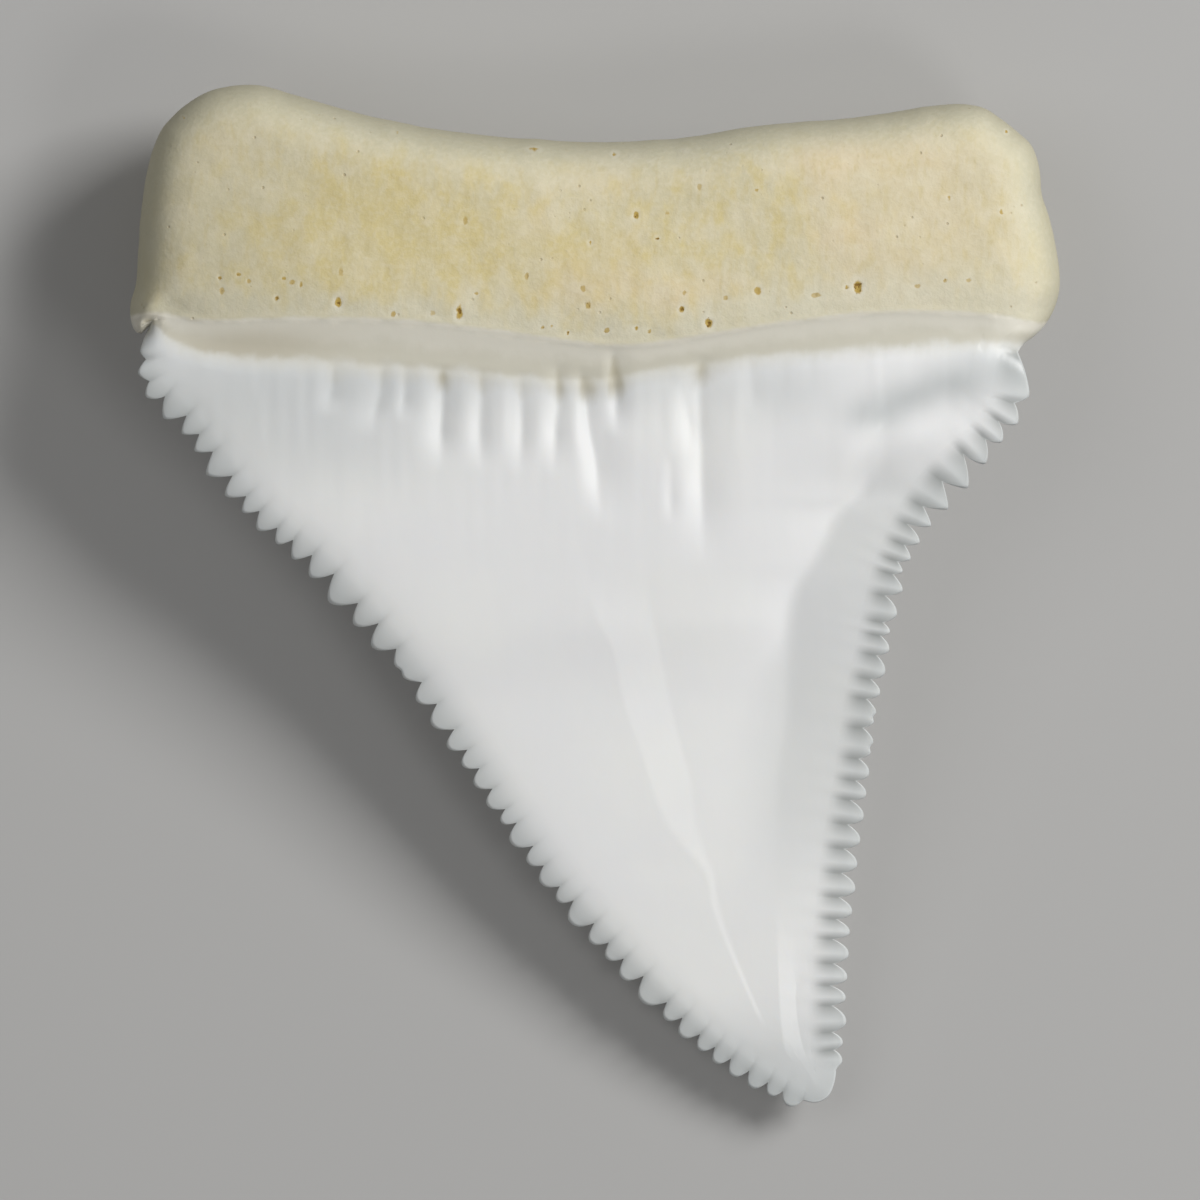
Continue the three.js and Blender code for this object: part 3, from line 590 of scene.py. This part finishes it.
def root_underside(p):
    """Lingual face of the root: two lobes worn flat where they touch the table, a hollow between."""
    x, y = p.T
    roll = PAD["curve"] * (y - PAD["y"]) ** 2
    saddle = SADDLE["rise"] * bell(x, SADDLE["half_width"])
    lobe = LOBE_RISE["curve"] * np.maximum(np.abs(x) - LOBE_RISE["from"], 0) ** 2
    grain = GRAIN["height"] * value_noise(p, GRAIN["spacing"], 3)
    return roll + saddle + lobe + grain - PAD["worn"]


def crown_thickness(y, across):
    middle = labial_line(y) - lingual_line(y) - EDGE_THICKNESS
    return EDGE_THICKNESS + np.maximum(middle, 0) * np.maximum(1 - across ** 2, 0) ** LENS_POWER


def faces(p):
    """Both faces as they would run without their rounding at the rim, and the rim between them."""
    x, y = p.T
    half_width = (right_side(y) - left_side(y)) / 2
    offset = x - (right_side(y) + left_side(y)) / 2
    across = np.clip(offset / half_width, -1.1, 1.1)
    crown_above = ramp(labial_neck(x) - y, -LABIAL_BLEND, LABIAL_BLEND)
    root_fall, crown_fall = (f["share"] * half_width * np.abs(across) ** f["power"] for f in (ROOT_FALL, CROWN_FALL))
    sweep = labial_line(y) - mix(root_fall, crown_fall, crown_above)
    crown_below = ramp(lingual_neck(x) - y, -LINGUAL_BLEND, LINGUAL_BLEND)
    bottom = mix(root_underside(p), sweep - crown_thickness(y, across), crown_below)
    share = mix(ROOT_RIM_SHARE, EDGE_RIM_SHARE, (crown_above + crown_below) / 2)
    top = sweep + labial_relief(p)
    return {"top": top, "bottom": bottom, "rim": mix(sweep, bottom, share),
            "crown_above": crown_above, "crown_below": crown_below}


def nearest_base(p):
    """Place of the nearest point on the base line, as a fractional index, and its distance."""
    index = np.concatenate([
        np.argmin((part[:, None, 0] - base[None, :, 0]) ** 2 + (part[:, None, 1] - base[None, :, 1]) ** 2, axis=1)
        for part in np.array_split(p, max(len(p) // 4000, 1))
    ])
    distance = np.full(len(p), np.inf)
    place = np.zeros(len(p))
    for step in (-1, 0):
        start = base[(index + step) % ROUND]
        along = base[(index + step + 1) % ROUND] - start
        u = np.clip(np.sum((p - start) * along, axis=1) / np.sum(along ** 2, axis=1), 0, 1)
        own = np.linalg.norm(p - start - along * u[:, None], axis=1)
        place = np.where(own < distance, index + step + u, place)
        distance = np.minimum(distance, own)
    return np.mod(place, ROUND), distance


def behind_rim(at, inside):
    """Distance to the serrated rim: the distance inside the notch line, plus how far the serration
    stands out there, which counts less and less further in."""
    reach = mix(*GROOVE_REACH, right_share(at))
    return inside + stand_out(at) * bell(np.maximum(inside - DEEPEST_NOTCH, 0), reach)


def rise_from_rim(inside, behind, radius, bevel, crown):
    """Share of the way from the rim to the face: rounded on the root, a bevel on the blade."""
    return mix(rounded_rise(inside / radius), 1 - np.exp(-np.maximum(behind, 0) / bevel), crown)


def skin_heights(p, side, at=None, inside=None):
    """Heights of one skin, at places given also by the nearest place on the base line and how far
    inside of it they lie."""
    face = faces(p)
    if at is None:
        at, inside = nearest_base(p)
    behind = behind_rim(at, inside)
    bevel = mix(*EDGE_BEVEL, ramp(p[:, 0], left_side(p[:, 1]), right_side(p[:, 1])))
    if side == "lingual":
        fall = rise_from_rim(inside, behind, RIM_RADIUS_BELOW, bevel, face["crown_below"])
        return np.maximum(mix(face["rim"], face["bottom"], fall), 0)
    above_neck = p[:, 1] - labial_neck(p[:, 0])
    radius = mix(RIM_RADIUS_AT_NECK, RIM_RADIUS_ABOVE, ramp(above_neck, 0, 1.8))
    rise = rise_from_rim(inside, behind, radius, bevel, face["crown_above"])
    ridge = RIDGE["height"] * (0.5 - notch_nearness(at)) * mix(RIDGE["left"], 1, right_share(at))
    ridge *= np.exp(-np.maximum(inside, 0) / RIDGE["reach"]) * rise * face["crown_above"]
    ridge *= off_the_tip(p[:, 1], at)
    return mix(face["rim"], face["top"], rise) + ridge


def rim_positions():
    """Places of the rim's points on the base line, in order."""
    along = np.arange(SERRATION_STEPS) / SERRATION_STEPS
    parts = [
        np.ravel(mix(edge["bounds"][:-1, None], edge["bounds"][1:, None], along))
        for edge in (LEFT_EDGE, RIGHT_EDGE)
    ]
    parts.append(np.linspace(left_end, right_end, TIP_STEPS, endpoint=False))
    parts.append(np.linspace(len(crown_base) + 2, ROUND, ROOT_STEPS, endpoint=False))
    return np.unique(np.round(np.mod(np.concatenate(parts), ROUND), 6))


def row_ends(grid):
    """Where each row of the grid starts and ends on the base line, and its share of the length."""
    top_left, tip_left, tip_right, top_right = (base_index(place) for place in GRID_CORNERS)
    root = 1 - (1 - np.arange(grid["root_rows"]) / grid["root_rows"]) ** ROW_CROWDING
    crown = (np.arange(grid["crown_rows"] + 1) / grid["crown_rows"]) ** ROW_CROWDING
    left = np.append(mix(top_left, ROUND, root), ROUND + tip_left * crown)
    right = np.append(mix(top_right, len(crown_base), root), mix(len(crown_base), tip_right, crown))
    share = np.append(ROOT_SHARE * root, mix(ROOT_SHARE, 1, crown))
    return left, right, share


def patch(grid, neck):
    """Grid stretched between its four borders on the inner line: straight between each row's ends,
    plus the bows of the top and bottom borders shared by length. Then its rows are bent so that
    one of them follows the neck."""
    left, right, share = row_ends(grid)
    s = np.linspace(0, 1, grid["columns"] + 1)
    starts, ends = point_on(inner, left), point_on(inner, right)
    straight = mix(starts[:, None], ends[:, None], s[None, :, None])
    top_bow = point_on(inner, mix(left[0], right[0], s)) - straight[0]
    tip_bow = point_on(inner, mix(left[-1] - ROUND, right[-1], s)) - straight[-1]
    places = straight + mix(top_bow[None], tip_bow[None], share[:, None, None])
    root_rows = grid["root_rows"]
    neck_row = places[root_rows]
    shift = (neck(neck_row[:, 0]) - neck_row[:, 1]) * (1 - np.abs(2 * s - 1) ** SIDE_POWER)
    row = np.arange(len(left))
    near = np.where(row < root_rows, row / root_rows, 1 - (row - root_rows) / grid["crown_rows"])
    places[:, :, 1] += shift[None] * ramp(near, 0, 1)[:, None]
    return places


def strides(grid):
    """Columns per cell in each band of rows, as (first row, last row, stride)."""
    stops = [0, *grid["halved_at"], grid["root_rows"] + grid["crown_rows"]]
    return [(stops[k], stops[k + 1], 2 ** k) for k in range(len(stops) - 1)]


def grid_triangles(grid):
    """Two triangles per cell, and three where two narrow cells meet one wide cell."""
    width = grid["columns"] + 1
    triangles = []
    for first, last, stride in strides(grid):
        halves = stride > 1
        row = np.arange(first + halves, last)[:, None] * width
        column = np.arange(0, grid["columns"], stride)[None]
        a, b = row + column, row + column + stride
        c, d = a + width, b + width
        triangles += [np.stack([a, c, b], -1).reshape(-1, 3), np.stack([b, c, d], -1).reshape(-1, 3)]
        if halves:
            a = first * width + column[0]
            middle, b = a + stride // 2, a + stride
            c, d = a + width, b + width
            triangles += [np.stack(t, -1) for t in ((a, c, middle), (middle, c, d), (middle, d, b))]
    return np.vstack(triangles)


def grid_border(grid):
    """The grid's border as vertex numbers, and their places on the base line, in order."""
    left, right, _ = row_ends(grid)
    last = len(left) - 1
    width = grid["columns"] + 1
    rows = np.arange(len(left))
    top = np.arange(1, grid["columns"])
    stride = strides(grid)[-1][2]
    foot = np.arange(stride, grid["columns"], stride)
    vertex = np.concatenate([rows * width, rows * width + grid["columns"], top, last * width + foot])
    at = np.concatenate([
        left, right,
        mix(left[0], right[0], top / grid["columns"]),
        mix(left[-1] - ROUND, right[-1], foot / grid["columns"]),
    ])
    at = np.mod(at, ROUND)
    order = np.argsort(at)
    return vertex[order], at[order]


def zipped(outer, outer_at, within, within_at):
    """Triangles between two closed rings: all their points are passed in order of place, and each
    makes a triangle with the points last passed on both rings."""
    m, n = len(outer), len(within)
    outer_next = np.append(outer_at[1:], outer_at[0] + ROUND)
    within_next = np.append(within_at[1:], within_at[0] + ROUND)
    order = np.argsort(np.concatenate([outer_next, within_next]), kind="stable")
    is_outer = order < m
    i = np.cumsum(is_outer) - is_outer
    j = np.cumsum(~is_outer) - ~is_outer
    third = np.where(is_outer, outer[(i + 1) % m], within[(j + 1) % n])
    return np.stack([outer[i % m], third, within[j % n]], axis=1)


def skin(side, grid, neck, rim_at, first_vertex):
    """Points and triangles of one skin. Its vertex numbers start at first_vertex, and the rim's
    are 0 to len(rim_at)."""
    places = patch(grid, neck).reshape(-1, 2)
    border, border_at = grid_border(grid)
    points = [places]
    heights = [skin_heights(places, side)]
    triangles = [grid_triangles(grid) + first_vertex]
    count = first_vertex + len(places)
    ring, ring_at = np.arange(len(rim_at)), rim_at
    for number, share in enumerate(OUTER_RINGS + INNER_RINGS):
        at = ring_at[::2] if number == THINNED_RING else ring_at
        on_base = point_on(base, at)
        normal = point_on(edge_normals, at)
        if number < len(OUTER_RINGS):
            out = mix(-DEEPEST_NOTCH, stand_out(at), share)
            place = on_base + normal * out[:, None]
            height = skin_heights(place, side, at, -out)
        else:
            place = mix(on_base - normal * DEEPEST_NOTCH, point_on(inner, at), share)
            height = skin_heights(place, side)
        vertex = count + np.arange(len(at))
        triangles.append(zipped(ring, ring_at, vertex, at))
        points.append(place)
        heights.append(height)
        count += len(at)
        ring, ring_at = vertex, at
    triangles.append(zipped(ring, ring_at, border + first_vertex, border_at))
    return np.vstack(points), np.concatenate(heights), np.vstack(triangles)


def tooth_surface():
    """The whole closed surface: rim, labial skin and lingual skin, with the side of each point."""
    rim_at = rim_positions()
    rim_out = stand_out(rim_at)
    rim = point_on(base, rim_at) + point_on(edge_normals, rim_at) * rim_out[:, None]
    labial, labial_z, up = skin("labial", LABIAL_GRID, labial_neck, rim_at, len(rim))
    lingual, lingual_z, down = skin("lingual", LINGUAL_GRID, lingual_neck, rim_at, len(rim) + len(labial))
    places = np.vstack([rim, labial, lingual])
    heights = np.concatenate([faces(rim)["rim"], labial_z, lingual_z])
    is_labial = np.concatenate([np.ones(len(rim) + len(labial), bool), np.zeros(len(lingual), bool)])
    triangles = np.vstack([up, down[:, ::-1]])
    used, triangles = np.unique(triangles, return_inverse=True)
    return places[used], heights[used], is_labial[used], triangles.reshape(-1, 3)


def mesh_from(name, points, triangles):
    mesh = bpy.data.meshes.new(name)
    mesh.vertices.add(len(points))
    mesh.vertices.foreach_set("co", np.ascontiguousarray(points, np.float32).ravel())
    mesh.loops.add(triangles.size)
    mesh.loops.foreach_set("vertex_index", triangles.ravel().astype(np.int32))
    mesh.polygons.add(len(triangles))
    mesh.polygons.foreach_set("loop_start", np.arange(0, triangles.size, 3, dtype=np.int32))
    mesh.update(calc_edges=True)
    mesh.polygons.foreach_set("use_smooth", np.ones(len(triangles), bool))
    return mesh


def add_attribute(mesh, name, values):
    attribute = mesh.attributes.new(name, "FLOAT", "POINT")
    attribute.data.foreach_set("value", values.astype(np.float32))


def patches_at(patches, x, y):
    return np.minimum(sum(s * bell(x - px, w) * bell(y - py, h) for px, py, w, h, s in patches), 1)


def nearest_rim(p):
    """Nearest place on the base line, and the distance inwards from it, below 0 on the serrations."""
    at, distance = nearest_base(p)
    outwards = np.sum((p - point_on(base, at)) * point_on(edge_normals, at), axis=1)
    return at, np.where(outwards > 0, -distance, distance)


def grey_and_shade_at(x, y, at, inside):
    """How grey the surface is painted, from 0 to 1: grey thin enamel with painted shade at the edges and tip,
    painted shade along the root's rim, in the valley and in some patches, and greyer below the neck.
    """
    on_right = right_share(at)
    share, start = mix(*EDGE_GREY_AND_SHADE["share"], on_right), mix(*EDGE_GREY_AND_SHADE["from"], on_right)
    edge = share * ramp(inside, start, EDGE_GREY_AND_SHADE["to"])
    tip = TIP_GREY_AND_SHADE["share"] * ramp(y, TIP_GREY_AND_SHADE["from"], TIP_GREY_AND_SHADE["to"])
    soft = mix(0.3, 2.6, ramp(y, *VALLEY["widens"]))
    trough = TROUGH_SHADE["share"] * ramp(x - valley_line(y), -soft, 0.6) * window(y, TROUGH_SHADE)
    neck = patches_at(GREY_AND_SHADE_PATCHES, x, y)
    return 1 - (1 - edge) * (1 - tip) * (1 - trough) * (1 - neck)


def notch_shade_at(at, inside):
    """Painted shade and dark thin enamel in and behind the notches, from 0 to 1: a power of the nearness to a
    notch, fading inwards."""
    on_right = right_share(at)
    share, power, full, ends = (mix(*pair, on_right) for pair in NOTCH_SHADE.values())
    fading = ramp((ends - inside) / (ends - full), 0, 1)
    return share * notch_nearness(at) ** power * fading


def add_attributes(mesh, p, is_labial):
    """What the material reads: millimetres below the enamel's line, above the bare band and behind the
    rim, grey thin enamel with painted shade, painted shade at the notches, pits, grooves, warm and pink patches."""
    x, y = p.T
    neck = np.where(is_labial, labial_neck(x), lingual_neck(x))
    top = np.where(is_labial, band_top(x), lingual_neck(x) + LINGUAL_BAND)
    field, strength = pit_field(x, y)
    at, inside = nearest_rim(p)
    # Painted shade along the rim of the inner face
    lingual_grey_and_shade = 0.4 * ramp(inside, 1.2, -0.3)
    add_attribute(mesh, "below_neck", neck - y)
    add_attribute(mesh, "above_band", y - top)
    add_attribute(mesh, "from_rim", inside)
    add_attribute(mesh, "behind_rim", np.maximum(behind_rim(at, inside), 0))
    add_attribute(mesh, "grey_and_shade", np.where(is_labial, grey_and_shade_at(x, y, at, inside), lingual_grey_and_shade))
    add_attribute(mesh, "notch_shade", notch_shade_at(at, inside) * off_the_tip(y, at) * np.where(is_labial, 1, 0.4))
    add_attribute(mesh, "groove", np.where(is_labial, np.minimum(flutes(x, y) / 0.15, 1), 0))
    add_attribute(mesh, "pit", np.where(is_labial, field, 4))
    add_attribute(mesh, "pit_strength", np.where(is_labial, strength, 0))
    add_attribute(mesh, "warmth", np.where(is_labial, patches_at(WARM_PATCHES, x, y), 0.3))
    add_attribute(mesh, "pinkness", np.where(is_labial, patches_at(PINK_PATCHES, x, y), 0.2))


def colour(red, green, blue):
    """Linear colour from display values of 0 to 255."""
    share = np.array([red, green, blue]) / 255
    return (*np.where(share <= 0.04045, share / 12.92, ((share + 0.055) / 1.055) ** 2.4), 1)


class Finish:
    """A node material with short calls for the nodes that it is made of."""

    def __init__(self, name):
        self.material = bpy.data.materials.new(name)
        self.material.use_nodes = True
        self.tree = self.material.node_tree
        self.shader = self.tree.nodes["Principled BSDF"]
        place = self.add("ShaderNodeTexCoord").outputs["Object"]
        scale = self.add("ShaderNodeMapping", Vector=place, Scale=(1 / MM, 1 / MM, 1 / MM))
        self.millimetres = scale.outputs["Vector"]

    def add(self, kind, settings=None, **inputs):
        node = self.tree.nodes.new(kind)
        for name, value in (settings or {}).items():
            setattr(node, name, value)
        for name, value in inputs.items():
            self.connect(node.inputs[name.replace("_", " ")], value)
        return node

    def connect(self, socket, value):
        if isinstance(value, bpy.types.NodeSocket):
            self.tree.links.new(value, socket)
        else:
            socket.default_value = value

    def set(self, **inputs):
        for name, value in inputs.items():
            self.connect(self.shader.inputs[name.replace("_", " ")], value)

    def attribute(self, name):
        return self.add("ShaderNodeAttribute", {"attribute_name": name}).outputs["Fac"]

    def math(self, operation, *values):
        node = self.add("ShaderNodeMath", {"operation": operation})
        for socket, value in zip(node.inputs, values):
            self.connect(socket, value)
        return node.outputs[0]

    def sum(self, *values):
        total = values[0]
        for value in values[1:]:
            total = self.math("ADD", total, value)
        return total

    def ramp(self, value, start, end, low=0.0, high=1.0):
        settings = {"interpolation_type": "SMOOTHSTEP"}
        node = self.add("ShaderNodeMapRange", settings, Value=value)
        for name, number in {"From Min": start, "From Max": end, "To Min": low, "To Max": high}.items():
            node.inputs[name].default_value = number
        return node.outputs["Result"]

    def noise(self, per_mm, detail=2.0, stretch=None):
        vector = self.millimetres
        if stretch:
            vector = self.add("ShaderNodeMapping", Vector=vector, Scale=stretch).outputs["Vector"]
        node = self.add("ShaderNodeTexNoise", Vector=vector, Scale=per_mm, Detail=detail)
        return node.outputs["Fac"]

    def cells(self, per_mm, randomness=1.0):
        return self.add("ShaderNodeTexVoronoi", Vector=self.millimetres, Scale=per_mm, Randomness=randomness)

    def blend(self, share, a, b):
        node = self.add("ShaderNodeMix", {"data_type": "RGBA"}, Factor=share)
        self.connect(node.inputs[6], a)
        self.connect(node.inputs[7], b)
        return node.outputs[2]

    def mix_values(self, share, a, b):
        node = self.add("ShaderNodeMix", {"data_type": "FLOAT"})
        for socket, value in zip((node.inputs[0], node.inputs[2], node.inputs[3]), (share, a, b)):
            self.connect(socket, value)
        return node.outputs[0]


def tooth_finish():
    """Ivory root with pores and stained pits, a bare band, and glossy, slightly translucent enamel."""
    f = Finish("tooth_enamel_and_root")
    below = f.attribute("below_neck")
    above = f.attribute("above_band")
    from_rim = f.attribute("from_rim")
    pit = f.attribute("pit")
    pit_strength = f.attribute("pit_strength")
    warmth = f.attribute("warmth")
    pinkness = f.attribute("pinkness")

    broad = f.noise(0.16, 2)
    mottle = f.noise(0.9, 4)
    blotch = f.noise(1.0, 3, (1.3, 0.7, 1))
    fibres = f.noise(1.0, 3, (3.4, 0.9, 3))
    fine = f.noise(4, 4)
    dust = f.noise(11, 3)
    wobble = f.math("MULTIPLY", f.math("SUBTRACT", mottle, 0.5), 0.35)

    # Root: cream with warmer and pinker patches, a fine mottle and small pores
    warm = f.sum(f.math("MULTIPLY", warmth, 0.85), f.ramp(blotch, 0.4, 0.7, -0.2, 0.4))
    pink = f.sum(f.math("MULTIPLY", pinkness, 0.8), f.ramp(broad, 0.45, 0.7, -0.1, 0.35))
    root = f.blend(f.ramp(warm, 0, 1), colour(207, 198, 165), colour(210, 195, 141))
    root = f.blend(f.ramp(pink, 0, 1, 0, 0.75), root, colour(222, 203, 168))
    root = f.blend(f.ramp(fibres, 0.48, 0.7, 0, 0.4), root, colour(202, 186, 132))
    root = f.blend(f.ramp(mottle, 0.46, 0.66, 0, 0.35), root, colour(222, 213, 186))
    root = f.blend(f.ramp(from_rim, 2.2, 0.2, 0, 0.7), root, colour(202, 200, 178))
    low = f.sum(above, f.math("MULTIPLY", f.math("SUBTRACT", blotch, 0.5), 2.2), f.math("MULTIPLY", warmth, 1.6))
    root = f.blend(f.ramp(low, 2.6, 0.6, 0, 0.6), root, colour(209, 205, 184))
    root = f.blend(f.ramp(fine, 0.4, 0.7, 0, 0.22), root, colour(230, 222, 200))
    # Painted shade, darker towards the root's rim and on its left lobe
    root = f.blend(f.attribute("grey_and_shade"), root, colour(158, 152, 126))
    pores = f.cells(1.7)
    pore = f.math("MULTIPLY", f.ramp(pores.outputs["Distance"], 0.15, 0.05), f.ramp(mottle, 0.5, 0.62))
    root = f.blend(f.math("MULTIPLY", pore, 0.4), root, colour(172, 148, 92))
    speck = f.ramp(dust, 0.66, 0.76)
    root = f.blend(f.math("MULTIPLY", speck, 0.3), root, colour(176, 164, 132))

    # Pits: pale rims, ragged amber sides and an olive-brown floor that fills only part of each
    ragged = f.sum(pit, f.math("MULTIPLY", f.math("SUBTRACT", fine, 0.5), 1.3))
    patchy = f.sum(pit, f.math("MULTIPLY", f.math("SUBTRACT", f.noise(5, 2), 0.5), 3.2))
    deep = f.ramp(pit_strength, 0.1, 0.9)
    halo = f.math("MULTIPLY", f.ramp(ragged, 2.0, 0.5), deep)
    stain = f.math("MULTIPLY", f.ramp(ragged, 0.4, -0.15), f.ramp(pit_strength, 0, 0.8, 0.4, 1))
    floor = f.math("MULTIPLY", f.ramp(patchy, -0.35, -0.75), deep)
    root = f.blend(f.math("MULTIPLY", halo, 0.3), root, colour(226, 221, 204))
    root = f.blend(f.math("MULTIPLY", stain, 0.92), root, colour(178, 146, 46))
    root = f.blend(f.math("MULTIPLY", floor, 0.9), root, colour(128, 92, 14))

    # Bare band: a pale line at its top, a painted highlight along its raised lip, then beige that gets darker and
    # greyer down to the enamel
    depth = f.math("DIVIDE", above, f.math("MINIMUM", f.sum(above, below), -0.01))
    depth = f.sum(depth, f.math("MULTIPLY", f.math("SUBTRACT", mottle, 0.5), 0.5))
    band = f.blend(f.ramp(depth, 0.3, 0.7), colour(213, 209, 195), colour(201, 197, 181))
    band = f.blend(f.ramp(warmth, 0.1, 0.9, 0, 0.7), band, colour(184, 177, 157))
    band = f.blend(f.ramp(depth, 0.8, 1.1), band, colour(212, 210, 200))
    # Painted highlight along the band's raised lip
    band = f.blend(f.ramp(depth, 0.14, 0.03, 0, 0.6), band, colour(224, 219, 204))
    band = f.blend(f.ramp(f.attribute("groove"), 0.35, 0.9, 0, 0.6), band, colour(172, 164, 138))

    # Enamel: a neutral white, greyer and a little bluer where thin and below the neck, with painted shade at its
    # edges, tip and notches, in the valley and by the right shoulder, and a fine bright rim
    enamel = f.blend(f.ramp(broad, 0.35, 0.7), colour(242, 242, 241), colour(245, 245, 242))
    enamel = f.blend(f.attribute("grey_and_shade"), enamel, colour(184, 189, 188))
    enamel = f.blend(f.attribute("notch_shade"), enamel, colour(144, 147, 144))
    enamel = f.blend(f.ramp(f.attribute("behind_rim"), 0.12, 0.03, 0, 0.4), enamel, colour(228, 232, 230))

    # The band's colour reaches further down along the grooves below the neck
    band_down_grooves = f.math("MULTIPLY", f.attribute("groove"), -0.5)
    uneven = f.math("MULTIPLY", f.math("SUBTRACT", f.sum(fibres, mottle), 1), 0.3)
    on_enamel = f.ramp(f.sum(below, band_down_grooves, uneven), -0.35, 0.75)
    on_root = f.ramp(f.sum(above, wobble), -0.12, 0.14)
    surface = f.blend(on_root, band, root)
    surface = f.blend(on_enamel, surface, enamel)

    rough = f.mix_values(on_root, 0.5, f.ramp(fine, 0.3, 0.7, 0.62, 0.8))
    rough = f.mix_values(on_enamel, rough, f.ramp(mottle, 0.3, 0.7, 0.32, 0.4))

    grain = f.sum(f.math("MULTIPLY", fine, 0.022), f.math("MULTIPLY", dust, 0.01))
    grain = f.math("SUBTRACT", grain, f.math("MULTIPLY", f.sum(pore, floor), 0.03))
    height = f.mix_values(on_root, f.math("MULTIPLY", blotch, 0.012), grain)
    height = f.mix_values(on_enamel, height, f.math("MULTIPLY", f.noise(1.5, 2, (1, 0.5, 1)), 0.006))
    bump = f.add("ShaderNodeBump", Height=height, Strength=1.0, Distance=MM)

    f.set(Base_Color=surface, Roughness=rough, Normal=bump.outputs["Normal"])
    f.set(Subsurface_Weight=0.1, Subsurface_Radius=(1.0, 0.85, 0.7), Subsurface_Scale=0.4 * MM)
    f.set(IOR=1.55, Specular_IOR_Level=0.5)
    return f.material


def make_tooth():
    p, z, is_labial, triangles = tooth_surface()
    middle = (p.min(axis=0) + p.max(axis=0)) / 2
    points = np.column_stack([p - middle, z]) * MM
    mesh = mesh_from("shark_tooth", points, triangles)
    add_attributes(mesh, p, is_labial)
    mesh.materials.append(tooth_finish())
    tooth = bpy.data.objects.new("shark_tooth", mesh)
    bpy.context.scene.collection.objects.link(tooth)
    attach(tooth, "root")
    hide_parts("tooth")
    return tooth


def make_floor():
    """Plain pale sheet, far larger than the tooth, just touching its underside."""
    half = 900 * MM
    corners = np.array([(-half, -half, 0), (half, -half, 0), (half, half, 0), (-half, half, 0)])
    mesh = mesh_from("floor", corners, np.array([(0, 1, 2), (0, 2, 3)]))
    f = Finish("floor_paper")
    f.set(Base_Color=colour(178, 177, 175), Roughness=0.9)
    mesh.materials.append(f.material)
    floor = bpy.data.objects.new("floor", mesh)
    bpy.context.scene.collection.objects.link(floor)


def make_camera():
    data = bpy.data.cameras.new("camera")
    data.lens = LENS
    data.sensor_width = SENSOR
    data.clip_start = 10 * MM
    data.clip_end = 10
    camera = bpy.data.objects.new("camera", data)
    distance = PHOTO_WIDTH * LENS / SENSOR
    camera.location = (PHOTO_MIDDLE[0] * MM, PHOTO_MIDDLE[1] * MM, (REFERENCE_HEIGHT + distance) * MM)
    bpy.context.scene.collection.objects.link(camera)
    bpy.context.scene.camera = camera


def make_light(name, direction, distance, size, power):
    """Square soft light at a distance in millimetres from the tooth, facing it."""
    data = bpy.data.lights.new(name, "AREA")
    data.shape = "SQUARE"
    data.size = size * MM
    data.energy = power
    light = bpy.data.objects.new(name, data)
    away = np.array(direction, float) / np.linalg.norm(direction)
    light.location = away * distance * MM
    light.rotation_mode = "QUATERNION"
    light.rotation_quaternion = light.location.to_track_quat("Z", "Y")
    light.visible_camera = False
    bpy.context.scene.collection.objects.link(light)


def make_world():
    world = bpy.data.worlds.new("studio")
    world.use_nodes = True
    background = world.node_tree.nodes["Background"]
    background.inputs["Color"].default_value = colour(235, 236, 238)
    background.inputs["Strength"].default_value = 0.2
    bpy.context.scene.world = world


make_tooth()
make_floor()
make_camera()
make_light("key_light", (0.72, 0.42, 0.75), 500, 200, 2.05)
make_light("sheen_light", (0.5, -0.4, 0.8), 520, 120, 0.3)
make_light("fill_light", (-0.6, 0.2, 1), 520, 320, 0.35)
make_world()
bpy.context.scene.view_settings.view_transform = "Standard"
